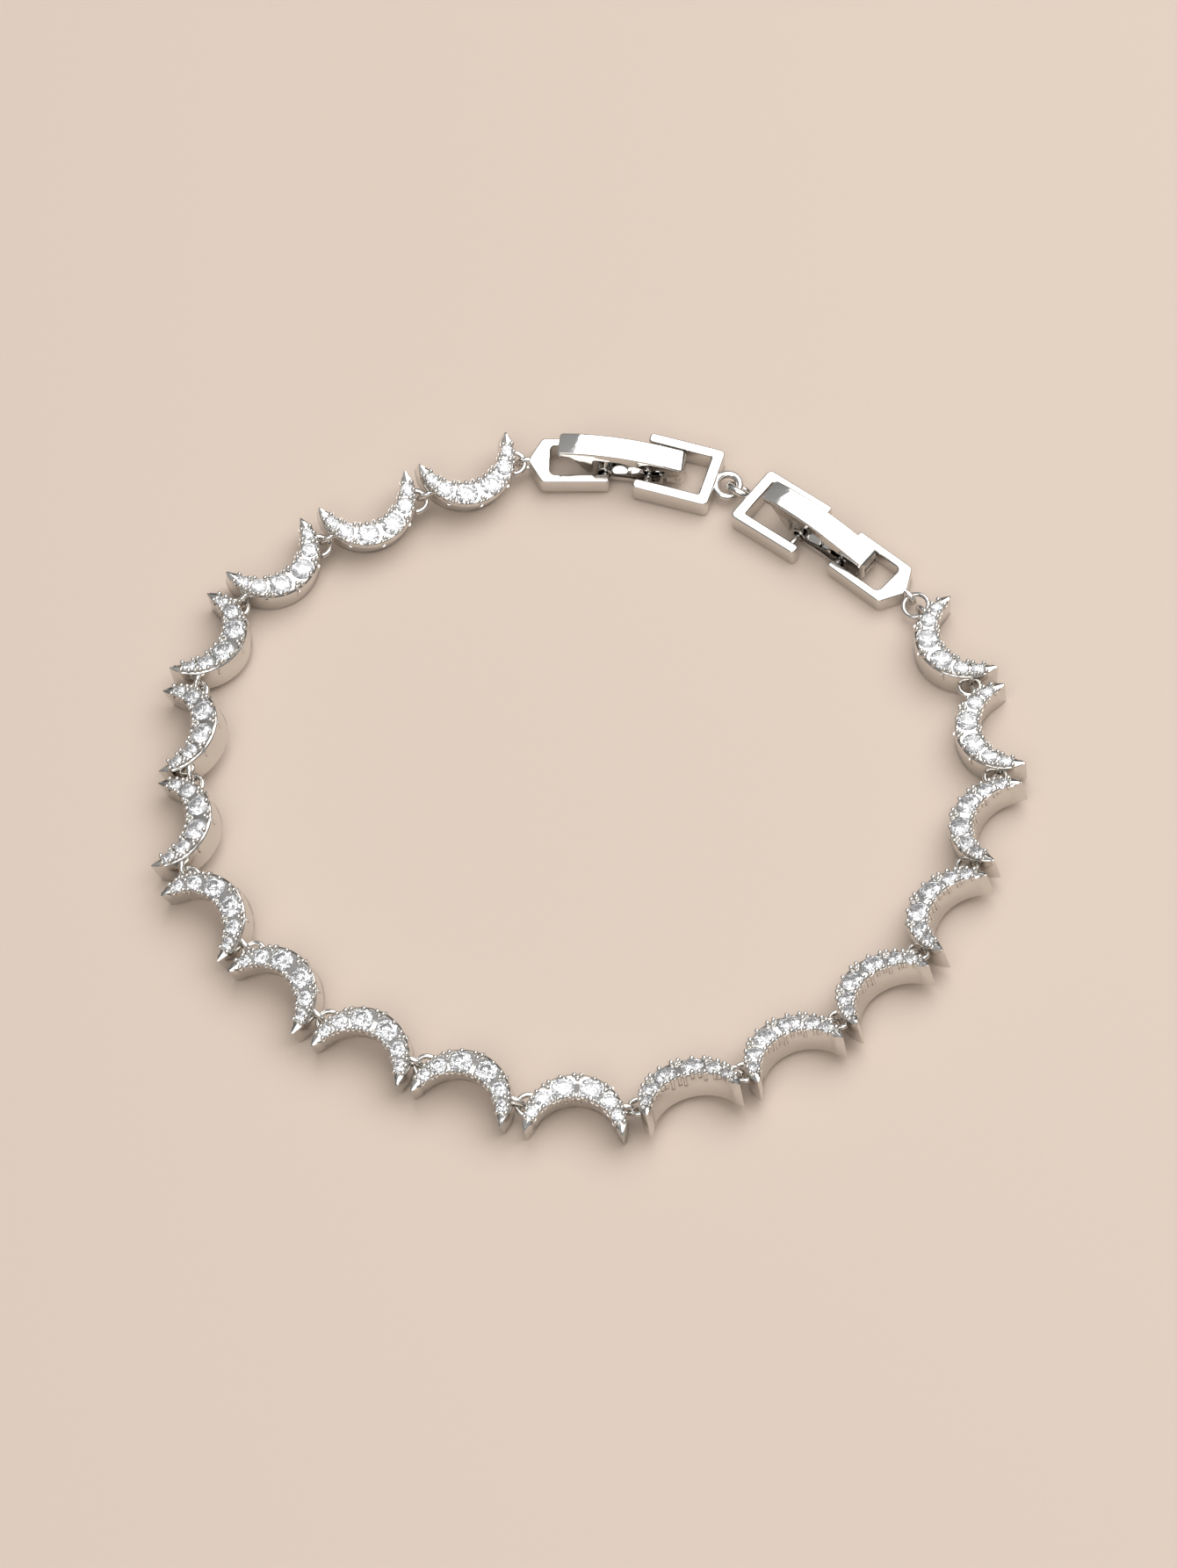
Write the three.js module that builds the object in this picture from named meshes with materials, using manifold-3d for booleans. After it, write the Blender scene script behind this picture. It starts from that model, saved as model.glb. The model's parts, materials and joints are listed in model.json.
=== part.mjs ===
// Link bracelet: eighteen crescent links, hooked loop through eye, closed by two fold-over clasps.
// Millimetres, +Z up. It lies closed on its resting surface, z = 0, with the origin on that surface
// at the middle of the bracelet's outline.
import * as THREE from 'three';
import { mergeVertices } from 'three/addons/utils/BufferGeometryUtils.js';
import Module from 'manifold-3d';

const wasm = await Module();
wasm.setup();

// Crescent link. x runs along the chain, y from the horn tips towards the belly, z up from the underside.
const TIP_SPAN = 7.0; // horn tip to horn tip
const LINK_DEPTH = 4.5; // horn tips to the outside of the belly
const BELLY_WIDTH = 1.85; // width of the band at its middle
const OUTER_RADIUS = 3.77;
const INNER_RADIUS = 3.2;
const HORN_POINT = 1.0; // length of the straight-sided point that ends each horn
const TIP_FLAT = 0.12; // blunted width of a horn tip
const WALL_HEIGHT = 2.3;
const PAVE_INSET = 0.14; // polished rim left around the stones
const PAVE_RISE = 0.22; // stones and prongs above the rim

// Joints between links, measured from the tip line and the underside.
const LINK_PITCH = 8.0; // joint to joint
const JOINT_DEPTH = 2.3;
const JOINT_HEIGHT = 1.05;
const HOOK = 0.27; // how far a loop reaches past the joint into its neighbour
const LOOP = { radius: 0.8, wire: 0.17 }; // flat loop on a link's first flank
const EYE = { radius: 0.78, wire: 0.18 }; // upright eye on its other flank, and on a house frame
const JUMP_RING = { radius: 0.93, wire: 0.18, roll: 12, heading: -68 }; // last clasp to last link

// The links in order from the first clasp, anticlockwise: how far each turns from the one before,
// and how far its stones lean towards the inside of the bracelet, in degrees.
const FIRST_HEADING = 200.2;
const LINKS = [
  { turn: 0, lean: 24 },
  { turn: 0.8, lean: 22 },
  { turn: 14, lean: 9 },
  { turn: 29, lean: -7 },
  { turn: 21, lean: -19 },
  { turn: -2, lean: -18 },
  { turn: 40, lean: -19 },
  { turn: 5, lean: -17 },
  { turn: 19, lean: -16 },
  { turn: 4, lean: -14 },
  { turn: 20, lean: -10 },
  { turn: 24, lean: 20 },
  { turn: 11, lean: 13 },
  { turn: 12, lean: 17 },
  { turn: 20, lean: 16 },
  { turn: 10, lean: 13 },
  { turn: 29, lean: 2 },
  { turn: 17, lean: -2 },
];

// Clasps. x runs along the clasp from its first crossbar, y across it, z up from its underside.
const FRAME_EDGE = 0.08; // softened edge of a frame
const EYE_HEIGHT = 1.0; // middle of a frame's ring above its underside
const CROSSBAR = { radius: 0.25, height: 0.95 };
const CROSSBAR_SPACING = 3.6;
const HOUSE = { reach: 5.8, width: 3.88, height: 1.42, arm: 0.66, end: 1.7, inset: 0.3, point: 1.08 };
const SQUARE = { reach: 5.0, width: 5.02, height: 1.65, arm: 0.8, end: 0.88, inset: 0.84, corner: 0.35 };
const SQUARE_RING = { radius: 0.93, wire: 0.25, hook: 0.38 };
const STRAP_WIDTH = 1.88; // lever and base
const STRAP_WALL = 0.3;
const BASE_UNDERSIDE = 0.29;
const BASE_PLATE = 0.25;
const BASE_TOP = 1.62;
const BASE_MIDDLE_TOP = 0.8; // top of the base's walls between the crossbars
const BARREL = { radius: 0.64, bore: 0.44 };
// Seat of the second crossbar: half its width, its floor, and the horn at each side with its flank.
const NOTCH = { half: 0.57, floor: 0.62, horn: 0.3, flank: 0.25, cornerCut: [0.1, 0.2] };
const NECK = { top: 1.0, length: 0.5 }; // from the notch to the hinge knuckle
const HINGE = { x: 5.55, height: 1.15, pin: 0.2, bore: 0.28, knuckle: 0.5, knuckleWidth: 0.95 };
const LEVER = {
  crest: { x: -0.5, height: 3.34, lipFall: 0.023, hingeFall: 0.0255 },
  lip: { x: -3.5, drop: 0.08, nose: 0.3, slant: [0.15, 0.1] },
  end: { x: 6.05, drop: 0.4 },
  plate: 0.5, // thickness of the bar
  wallSink: 0.1, // how far the walls reach up into the bar
  arch: [-2.0, -1.0, 0.4, 1.6, 2.8, 3.9, 4.8, 5.6], // where the arched top's corners lie
  under: [4.6, 3.4, 2.2, 1.0, -0.6, -2.0], // where the underside's corners lie
  cheek: { start: -2.7, drop: 0.55, end: -0.85, footLength: 0.3, foot: 0.75, lean: 0.1 },
  skirt: { height: 2.5, end: 1.2 },
  skirtAtBase: { height: 1.95, start: 2.8 },
  roof: { back: 0.2, height: 1.75 }, // above the hinge knuckle
  ear: { back: 0.9, foot: 0.6 },
};
const CUTTER_LENGTH = 3; // longer than anything it bores through
// Block under the lever that holds the second crossbar, and how far it reaches up into the bar.
const CATCH = { length: 0.7, bottom: 1.3, width: 0.8, sink: 0.1 };

// Each clasp's end frames in order along the chain: how far each has swung on its crossbar in degrees,
// how far it has slid sideways along it, how far its ring is rolled from flat, and how far the second
// crossbar has moved along its notch.
const CLASPS = [
  {
    first: { kind: 'house', skew: 7, aside: 0, ringRoll: 90 },
    last: { kind: 'square', skew: -9.8, aside: 0.1, ringRoll: 10 },
    slide: -0.08,
  },
  {
    first: { kind: 'square', skew: 1.4, aside: -0.28, ringRoll: 52 },
    last: { kind: 'house', skew: -2.8, aside: 0.03, ringRoll: 90 },
    slide: 0.2,
  },
];

const ARC_STEPS = 12;
const ROUND_STEPS = 14;
const WIRE_SIDES = 6;
const RING_STEPS = 16;
const rad = THREE.MathUtils.degToRad;

function toSolid(geometry) {
  const bare = geometry.clone();
  bare.deleteAttribute('normal');
  bare.deleteAttribute('uv');
  const merged = mergeVertices(bare);
  const mesh = new wasm.Mesh({
    numProp: 3,
    vertProperties: new Float32Array(merged.attributes.position.array),
    triVerts: new Uint32Array(merged.index.array),
  });
  return new wasm.Manifold(mesh);
}

function toGeometry(solid) {
  const mesh = solid.getMesh();
  const geometry = new THREE.BufferGeometry();
  geometry.setAttribute('position', new THREE.BufferAttribute(mesh.vertProperties, 3));
  geometry.setIndex(new THREE.BufferAttribute(mesh.triVerts, 1));
  geometry.computeVertexNormals();
  return geometry;
}

function join(...geometries) {
  return geometries.map(toSolid).reduce((whole, part) => whole.add(part));
}

function silverMesh(name, geometry) {
  const material = new THREE.MeshStandardMaterial({ color: 0xdfe1e4, metalness: 1, roughness: 0.12 });
  const mesh = new THREE.Mesh(geometry, material);
  mesh.name = name;
  return mesh;
}

// A plate standing on z = bottom, from an outline drawn in x and y.
function plate(shape, bottom, height) {
  const geometry = new THREE.ExtrudeGeometry(shape, {
    depth: height,
    bevelEnabled: false,
    curveSegments: ARC_STEPS,
  });
  return geometry.translate(0, 0, bottom);
}

// A slab centred on y = middle, from a side view drawn in x and z.
function sideSlab(shape, width, middle = 0) {
  const geometry = new THREE.ExtrudeGeometry(shape, {
    depth: width,
    bevelEnabled: false,
    curveSegments: ARC_STEPS,
  });
  return geometry.rotateX(Math.PI / 2).translate(0, middle + width / 2, 0);
}

function polygon(points) {
  return new THREE.Shape(points.map(([x, y]) => new THREE.Vector2(x, y)));
}

// A round bar lying across the clasp.
function crossPin(radius, length, x, height) {
  return new THREE.CylinderGeometry(radius, radius, length, ROUND_STEPS).translate(x, 0, height);
}

// A wire ring in the x-y plane, rolled about its x axis, then moved to x, y, z.
function wireRing({ radius, wire }, roll, x, y, z) {
  const ring = new THREE.TorusGeometry(radius, wire, WIRE_SIDES, RING_STEPS);
  return ring.rotateX(rad(roll)).translate(x, y, z);
}

// The moon outline between two arcs. Pointed, it ends in the horn tips; otherwise both ends are cut
// straight across where the points would start.
function moonOutline(inset, pointed) {
  const outer = { y: LINK_DEPTH - OUTER_RADIUS, radius: OUTER_RADIUS - inset };
  const inner = { y: LINK_DEPTH - BELLY_WIDTH - INNER_RADIUS, radius: INNER_RADIUS + inset };
  const outerStart = Math.asin((HORN_POINT - outer.y) / outer.radius);
  const innerStart = Math.asin((HORN_POINT - inner.y) / inner.radius);
  const tip = (side) => [
    new THREE.Vector2(side * TIP_SPAN / 2 + TIP_FLAT / 2, 0),
    new THREE.Vector2(side * TIP_SPAN / 2 - TIP_FLAT / 2, 0),
  ];
  const outerArc = new THREE.EllipseCurve(
    0, outer.y, outer.radius, outer.radius, outerStart, Math.PI - outerStart);
  const innerArc = new THREE.EllipseCurve(
    0, inner.y, inner.radius, inner.radius, Math.PI - innerStart, innerStart, true);
  const points = [...outerArc.getPoints(ARC_STEPS)];
  if (pointed) {
    points.push(...tip(-1).reverse());
  }
  points.push(...innerArc.getPoints(ARC_STEPS));
  if (pointed) {
    points.push(...tip(1).reverse());
  }
  return new THREE.Shape(points);
}

// One crescent link, with the joint to its forerunner at the origin and the next joint on +x.
function crescentGeometry() {
  const wall = plate(moonOutline(0, true), 0, WALL_HEIGHT);
  const paved = plate(moonOutline(PAVE_INSET, false), WALL_HEIGHT / 2, WALL_HEIGHT / 2 + PAVE_RISE);
  for (const geometry of [wall, paved]) {
    geometry.translate(LINK_PITCH / 2, -JOINT_DEPTH, -JOINT_HEIGHT);
  }
  const loop = wireRing(LOOP, 0, LOOP.radius - HOOK, 0, 0);
  const eye = wireRing(EYE, 90, LINK_PITCH + HOOK - EYE.radius, 0, 0);
  return toGeometry(join(wall, paved, loop, eye));
}

// Outline of a U frame with its open end at negative x, walked anticlockwise: the outside of the
// end first, then back along the inside of the window.
function frameOutline(size, endPoints) {
  const half = size.width / 2;
  const open = -size.inset;
  const window = size.reach - size.end;
  const outside = [[open, -half], ...endPoints, [open, half]];
  const inside = [
    [open, half - size.arm],
    [window, half - size.arm],
    [window, size.arm - half],
    [open, size.arm - half],
  ];
  return polygon([...outside, ...inside]);
}

// A frame's softened bar, from its outline.
function frameBar(outline, height) {
  const geometry = new THREE.ExtrudeGeometry(outline, {
    depth: height - 2 * FRAME_EDGE,
    bevelThickness: FRAME_EDGE,
    bevelSize: FRAME_EDGE,
    bevelOffset: -FRAME_EDGE,
    bevelSegments: 1,
    curveSegments: 1,
  });
  return geometry.translate(0, 0, FRAME_EDGE);
}

// Frames have their crossbar at the origin and their outer end on +x. The joint that their ring makes
// with its neighbour lies at frameJoint, on the frame's middle line.
const FRAMES = {
  house: {
    size: HOUSE,
    ring: EYE,
    ringX: HOUSE.reach,
    joint: HOUSE.reach + EYE.radius - HOOK,
    endPoints: [
      [HOUSE.reach - HOUSE.point, -HOUSE.width / 2],
      [HOUSE.reach, 0],
      [HOUSE.reach - HOUSE.point, HOUSE.width / 2],
    ],
  },
  square: {
    size: SQUARE,
    ring: SQUARE_RING,
    ringX: SQUARE.reach + SQUARE_RING.radius - SQUARE_RING.wire / 4,
    joint: SQUARE.reach + 2 * SQUARE_RING.radius - SQUARE_RING.wire / 4 - SQUARE_RING.hook,
    endPoints: [
      [SQUARE.reach - SQUARE.corner, -SQUARE.width / 2],
      [SQUARE.reach, SQUARE.corner - SQUARE.width / 2],
      [SQUARE.reach, SQUARE.width / 2 - SQUARE.corner],
      [SQUARE.reach - SQUARE.corner, SQUARE.width / 2],
    ],
  },
};

function frameGeometry({ kind, ringRoll }) {
  const { size, ring, ringX, endPoints } = FRAMES[kind];
  const barLength = size.width - size.arm;
  const crossbar = crossPin(CROSSBAR.radius, barLength, 0, CROSSBAR.height);
  const endRing = wireRing(ring, ringRoll, ringX, 0, EYE_HEIGHT);
  const window = sideSlab(polygon([
    [0, 0],
    [size.reach - size.end, 0],
    [size.reach - size.end, 2 * size.height],
    [0, 2 * size.height],
  ]), size.width - 2 * size.arm);
  const ringOutside = toSolid(endRing).subtract(toSolid(window));
  const bar = toSolid(frameBar(frameOutline(size, endPoints), size.height));
  return toGeometry(bar.add(ringOutside).add(toSolid(crossbar)));
}

// Side view of the base's two walls: low between the crossbars, with a notch for the second crossbar
// that is open at the top.
function baseWall() {
  const left = CROSSBAR_SPACING - NOTCH.half;
  const right = CROSSBAR_SPACING + NOTCH.half;
  const [cutLength, cutDepth] = NOTCH.cornerCut;
  return polygon([
    [0, BASE_UNDERSIDE],
    [right + NOTCH.horn, BASE_UNDERSIDE],
    [right + NOTCH.horn, BASE_TOP - cutDepth],
    [right + NOTCH.horn - cutLength, BASE_TOP],
    [right, BASE_TOP],
    [right, NOTCH.floor],
    [left, NOTCH.floor],
    [left, BASE_TOP],
    [left - NOTCH.horn, BASE_TOP],
    [left - NOTCH.horn - NOTCH.flank, BASE_MIDDLE_TOP],
    [BARREL.radius, BASE_MIDDLE_TOP],
    [0, CROSSBAR.height],
  ]);
}

function baseGeometry() {
  const wallMiddle = (STRAP_WIDTH - STRAP_WALL) / 2;
  const hornEnd = CROSSBAR_SPACING + NOTCH.half + NOTCH.horn;
  const floor = polygon([
    [0, BASE_UNDERSIDE],
    [hornEnd, BASE_UNDERSIDE],
    [hornEnd, BASE_UNDERSIDE + BASE_PLATE],
    [0, BASE_UNDERSIDE + BASE_PLATE],
  ]);
  const neck = polygon([
    [hornEnd - NOTCH.horn, BASE_UNDERSIDE],
    [HINGE.x - NECK.length, BASE_UNDERSIDE],
    [HINGE.x, HINGE.height - HINGE.knuckle],
    [HINGE.x, HINGE.height + HINGE.knuckle],
    [hornEnd - NOTCH.horn, NECK.top],
  ]);
  const whole = join(
    sideSlab(floor, STRAP_WIDTH),
    sideSlab(baseWall(), STRAP_WALL, wallMiddle),
    sideSlab(baseWall(), STRAP_WALL, -wallMiddle),
    sideSlab(neck, HINGE.knuckleWidth),
    crossPin(BARREL.radius, STRAP_WIDTH, 0, CROSSBAR.height),
    crossPin(HINGE.knuckle, HINGE.knuckleWidth, HINGE.x, HINGE.height),
    crossPin(HINGE.pin, STRAP_WIDTH, HINGE.x, HINGE.height),
  );
  const bore = crossPin(BARREL.bore, CUTTER_LENGTH, 0, CROSSBAR.height);
  return toGeometry(whole.subtract(toSolid(bore)));
}

// Height of the lever's arched top: highest between the crossbars, lowest at the hinge.
function leverTop(x) {
  const { x: middle, height, lipFall, hingeFall } = LEVER.crest;
  const fall = x < middle ? lipFall : hingeFall;
  return height - fall * (x - middle) ** 2;
}

// Side view of the lever's bar: a lip at the free end, the arch, and a rounded hinge end.
function leverPlate() {
  const { lip, end, roof } = LEVER;
  const arch = LEVER.arch.map((x) => [x, leverTop(x)]);
  const under = LEVER.under.map((x) => [x, leverTop(x) - LEVER.plate]);
  const lipTop = leverTop(lip.x) - lip.drop;
  const [slantUnder, slantOver] = lip.slant;
  return polygon([
    [lip.x + slantUnder, lipTop - LEVER.plate],
    [lip.x, lipTop - lip.nose],
    [lip.x + slantOver, lipTop],
    ...arch,
    [end.x, leverTop(end.x) - end.drop],
    [end.x, roof.height],
    [HINGE.x - roof.back, roof.height],
    ...under,
  ].reverse());
}

// Side view of the lever's walls: a triangular cheek by the first crossbar, a skirt that deepens
// towards the second, and a broad ear around the hinge pin.
function leverWall() {
  const { cheek, skirt, skirtAtBase, ear, end } = LEVER;
  const arch = LEVER.arch.map((x) => [x, leverTop(x) - LEVER.wallSink]);
  return polygon([
    [cheek.start, leverTop(cheek.start) - cheek.drop],
    [cheek.end - cheek.footLength, cheek.foot],
    [cheek.end, cheek.foot],
    [cheek.end + cheek.lean, skirt.height],
    [skirt.end, skirt.height],
    [skirtAtBase.start, skirtAtBase.height],
    [HINGE.x - ear.back, skirtAtBase.height],
    [HINGE.x - ear.back, ear.foot],
    [end.x, ear.foot],
    [end.x, leverTop(end.x) - end.drop - LEVER.wallSink],
    ...arch.reverse(),
  ]);
}

function leverGeometry() {
  const wallMiddle = (STRAP_WIDTH - STRAP_WALL) / 2;
  const sunk = leverTop(CROSSBAR_SPACING) - LEVER.plate + CATCH.sink;
  const catchBlock = polygon([
    [CROSSBAR_SPACING - CATCH.length / 2, CATCH.bottom],
    [CROSSBAR_SPACING + CATCH.length / 2, CATCH.bottom],
    [CROSSBAR_SPACING + CATCH.length / 2, sunk],
    [CROSSBAR_SPACING - CATCH.length / 2, sunk],
  ]);
  const whole = join(
    sideSlab(leverPlate(), STRAP_WIDTH),
    sideSlab(leverWall(), STRAP_WALL, wallMiddle),
    sideSlab(leverWall(), STRAP_WALL, -wallMiddle),
    sideSlab(catchBlock, CATCH.width),
  );
  const bore = crossPin(HINGE.bore, CUTTER_LENGTH, HINGE.x, HINGE.height);
  return toGeometry(whole.subtract(toSolid(bore)));
}

// The point where a frame's ring meets its neighbour, in the clasp's own x and y.
function claspEnd(frame, crossbarX, facing) {
  const angle = rad(facing + frame.skew);
  const reach = FRAMES[frame.kind].joint;
  const y = frame.aside + reach * Math.sin(angle);
  return new THREE.Vector3(crossbarX + reach * Math.cos(angle), y, EYE_HEIGHT);
}

// A whole clasp, moved so that its first joint is at the origin and its last joint on +x.
function buildClasp({ first, last, slide }, number) {
  const secondCrossbar = CROSSBAR_SPACING + slide;
  const start = claspEnd(first, 0, 180);
  const finish = claspEnd(last, secondCrossbar, 0);
  const chord = finish.clone().sub(start);
  const firstFrame = silverMesh(`${first.kind}_frame_${number}`, frameGeometry(first));
  firstFrame.position.y = first.aside;
  firstFrame.rotation.z = rad(180 + first.skew);
  const lastFrame = silverMesh(`${last.kind}_frame_${number}`, frameGeometry(last));
  lastFrame.position.set(secondCrossbar, last.aside, 0);
  lastFrame.rotation.z = rad(last.skew);
  const pieces = new THREE.Group();
  pieces.add(firstFrame);
  pieces.add(lastFrame);
  pieces.add(silverMesh(`base_${number}`, baseGeometry()));
  pieces.add(silverMesh(`lever_${number}`, leverGeometry()));
  const turned = Math.atan2(chord.y, chord.x);
  pieces.rotation.z = -turned;
  pieces.position.copy(start).negate().applyAxisAngle(new THREE.Vector3(0, 0, 1), -turned);
  const clasp = new THREE.Group();
  clasp.add(pieces);
  return { clasp, length: chord.length() };
}

// Height of a link's joint line when the link lies on the surface at its lean.
function restHeight(lean) {
  const sides = [-JOINT_DEPTH, LINK_DEPTH - JOINT_DEPTH];
  const lowest = Math.min(...sides.map((y) => -y * Math.sin(rad(lean))));
  return JOINT_HEIGHT * Math.cos(rad(lean)) - lowest;
}

// Lays a piece from one joint to the next, leaning it, then sets it down on the surface.
function layAlong(piece, from, to, lean) {
  const step = to.clone().sub(from);
  const heading = Math.atan2(step.y, step.x);
  const climb = Math.atan2(step.z, Math.hypot(step.x, step.y));
  piece.position.copy(from);
  piece.rotation.set(-rad(lean), -climb, heading, 'ZYX');
  const lowest = new THREE.Box3().setFromObject(piece, true).min.z;
  piece.position.z -= lowest;
}

// Joint points along the crescents, in plan, each at the mean of its two neighbours' rest heights.
function linkJoints() {
  const heights = [EYE_HEIGHT, ...LINKS.map(({ lean }) => restHeight(lean)), EYE_HEIGHT];
  const joints = [new THREE.Vector3(0, 0, (heights[0] + heights[1]) / 2)];
  let heading = FIRST_HEADING;
  LINKS.forEach(({ turn }, index) => {
    heading += turn;
    const next = joints[index].clone();
    next.x += LINK_PITCH * Math.cos(rad(heading));
    next.y += LINK_PITCH * Math.sin(rad(heading));
    next.z = (heights[index + 1] + heights[index + 2]) / 2;
    joints.push(next);
  });
  return joints;
}

// The point that lies firstLength from one end and lastLength from the other, on the outer side.
function meetingPoint(from, to, firstLength, lastLength) {
  const line = to.clone().sub(from).setZ(0);
  const span = line.length();
  const along = (firstLength ** 2 - lastLength ** 2 + span ** 2) / (2 * span);
  const aside = Math.sqrt(firstLength ** 2 - along ** 2);
  const direction = line.divideScalar(span);
  const outward = new THREE.Vector3(-direction.y, direction.x, 0);
  return from.clone().addScaledVector(direction, along).addScaledVector(outward, aside).setZ(EYE_HEIGHT);
}

function buildBracelet() {
  const bracelet = new THREE.Group();
  const joints = linkJoints();
  LINKS.forEach(({ lean }, index) => {
    const name = `crescent_${String(index + 1).padStart(2, '0')}`;
    const link = silverMesh(name, crescentGeometry());
    layAlong(link, joints[index], joints[index + 1], lean);
    bracelet.add(link);
  });

  const clasps = CLASPS.map((frames, index) => buildClasp(frames, index + 1));
  const chainStart = joints[0];
  const chainEnd = joints[joints.length - 1];
  const ringSpan = new THREE.Vector3(2 * (JUMP_RING.radius - HOOK), 0, 0);
  ringSpan.applyAxisAngle(new THREE.Vector3(0, 0, 1), rad(JUMP_RING.heading));
  const ringStart = chainEnd.clone().sub(ringSpan).setZ(EYE_HEIGHT);
  const middle = meetingPoint(chainStart, ringStart, clasps[0].length, clasps[1].length);
  layAlong(clasps[0].clasp, chainStart, middle, 0);
  layAlong(clasps[1].clasp, middle, ringStart, 0);

  const ring = silverMesh('jump_ring', wireRing(JUMP_RING, JUMP_RING.roll, 0, 0, 0));
  ring.position.copy(ringStart).lerp(chainEnd, 0.5);
  ring.rotation.z = rad(JUMP_RING.heading);
  bracelet.add(clasps[0].clasp, clasps[1].clasp, ring);

  const middleOfOutline = new THREE.Box3().setFromObject(bracelet, true).getCenter(new THREE.Vector3());
  bracelet.position.set(-middleOfOutline.x, -middleOfOutline.y, 0);
  bracelet.updateMatrixWorld(true);
  return bracelet;
}

export default buildBracelet();
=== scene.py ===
"""Looks of a link bracelet that lies closed on a pale surface.

Paved crescent links hook loop through eye into a ring that two fold-over clasps close. Every piece
is built in millimetres in its own frame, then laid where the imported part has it.
"""

import json
import logging
import math
import random
from dataclasses import dataclass, field
from enum import Enum
from typing import Callable, Sequence

import bmesh
import bpy
from mathutils import Matrix, Vector


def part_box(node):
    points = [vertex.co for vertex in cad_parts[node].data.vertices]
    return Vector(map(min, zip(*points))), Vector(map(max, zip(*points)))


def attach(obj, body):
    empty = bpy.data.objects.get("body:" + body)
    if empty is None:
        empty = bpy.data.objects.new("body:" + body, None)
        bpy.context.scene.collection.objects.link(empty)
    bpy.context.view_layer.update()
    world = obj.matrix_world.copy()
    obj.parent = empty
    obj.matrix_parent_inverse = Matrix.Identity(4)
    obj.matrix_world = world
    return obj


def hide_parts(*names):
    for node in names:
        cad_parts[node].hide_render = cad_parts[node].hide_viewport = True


MM = 0.001
BRACELET = "bracelet"
BEAD_SEED = 7
STONE_SEED = 31
X, Y, Z = (Vector(axis) for axis in ((1, 0, 0), (0, 1, 0), (0, 0, 1)))
log = logging.getLogger("link_bracelet")

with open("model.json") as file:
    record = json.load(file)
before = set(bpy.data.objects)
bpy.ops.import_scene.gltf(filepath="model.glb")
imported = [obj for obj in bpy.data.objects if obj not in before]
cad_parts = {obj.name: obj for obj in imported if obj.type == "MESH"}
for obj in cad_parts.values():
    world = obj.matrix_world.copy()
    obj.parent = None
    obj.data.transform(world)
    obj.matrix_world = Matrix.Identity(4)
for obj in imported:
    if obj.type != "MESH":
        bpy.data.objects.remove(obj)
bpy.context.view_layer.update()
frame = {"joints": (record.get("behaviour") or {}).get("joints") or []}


class Slot(Enum):
    """The record's material slots."""

    PAVED = "paved_silver"
    SILVER = "silver"
    STONES = "stones"


# ----------------------------------------------------------------------------------------- finishes


def new_material(name: str) -> tuple[bpy.types.Material, bpy.types.NodeTree, bpy.types.Node]:
    """Makes a node material.

    Args:
        name: the material's name.

    Returns:
        The material, its node tree and its Principled shader.
    """
    material = bpy.data.materials.new(name)
    material.use_nodes = True
    tree = material.node_tree
    return material, tree, tree.nodes["Principled BSDF"]


def noise_bump(
    tree: bpy.types.NodeTree, layers: Sequence[tuple[float, float, float]]
) -> bpy.types.NodeSocket:
    """Stacks bumps made of noise in the object's own space.

    Args:
        tree: the node tree to add to.
        layers: for each layer its noise scale per metre, detail and depth in metres.

    Returns:
        The last bump's normal.
    """
    place = tree.nodes.new("ShaderNodeTexCoord")
    normal = None
    for scale, detail, depth in layers:
        noise = tree.nodes.new("ShaderNodeTexNoise")
        noise.inputs["Scale"].default_value = scale
        noise.inputs["Detail"].default_value = detail
        bump = tree.nodes.new("ShaderNodeBump")
        bump.inputs["Strength"].default_value = 1.0
        bump.inputs["Distance"].default_value = depth
        tree.links.new(place.outputs["Object"], noise.inputs["Vector"])
        tree.links.new(noise.outputs["Fac"], bump.inputs["Height"])
        if normal is not None:
            tree.links.new(normal, bump.inputs["Normal"])
        normal = bump.outputs["Normal"]
    return normal


@dataclass(frozen=True)
class BrightPlate:
    """Bright rhodium-like plate over cast metal, polished but not perfectly flat."""

    name: str = "bright plate"
    colour: tuple[float, float, float] = (0.72, 0.70, 0.67)
    roughness: tuple[float, float] = (0.05, 0.16)
    waves: tuple[tuple[float, float, float], ...] = ((600.0, 2.0, 0.000014), (4200.0, 3.0, 0.0000006))
    tarnish_scale: float = 900.0

    def material(self) -> bpy.types.Material:
        """Builds the plate's material with uneven polish and faint waves.

        Returns:
            The material.
        """
        material, tree, shader = new_material(self.name)
        shader.inputs["Base Color"].default_value = (*self.colour, 1.0)
        shader.inputs["Metallic"].default_value = 1.0
        place = tree.nodes.new("ShaderNodeTexCoord")
        noise = tree.nodes.new("ShaderNodeTexNoise")
        noise.inputs["Scale"].default_value = self.tarnish_scale
        noise.inputs["Detail"].default_value = 4.0
        spread = tree.nodes.new("ShaderNodeMapRange")
        spread.inputs["From Min"].default_value = 0.35
        spread.inputs["From Max"].default_value = 0.7
        spread.inputs["To Min"].default_value = self.roughness[0]
        spread.inputs["To Max"].default_value = self.roughness[1]
        tree.links.new(place.outputs["Object"], noise.inputs["Vector"])
        tree.links.new(noise.outputs["Fac"], spread.inputs["Value"])
        tree.links.new(spread.outputs["Result"], shader.inputs["Roughness"])
        tree.links.new(noise_bump(tree, self.waves), shader.inputs["Normal"])
        return material


WORN_PLATE = BrightPlate("worn plate", waves=((700.0, 3.0, 0.00004), (4200.0, 3.0, 0.0000006)))


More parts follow.
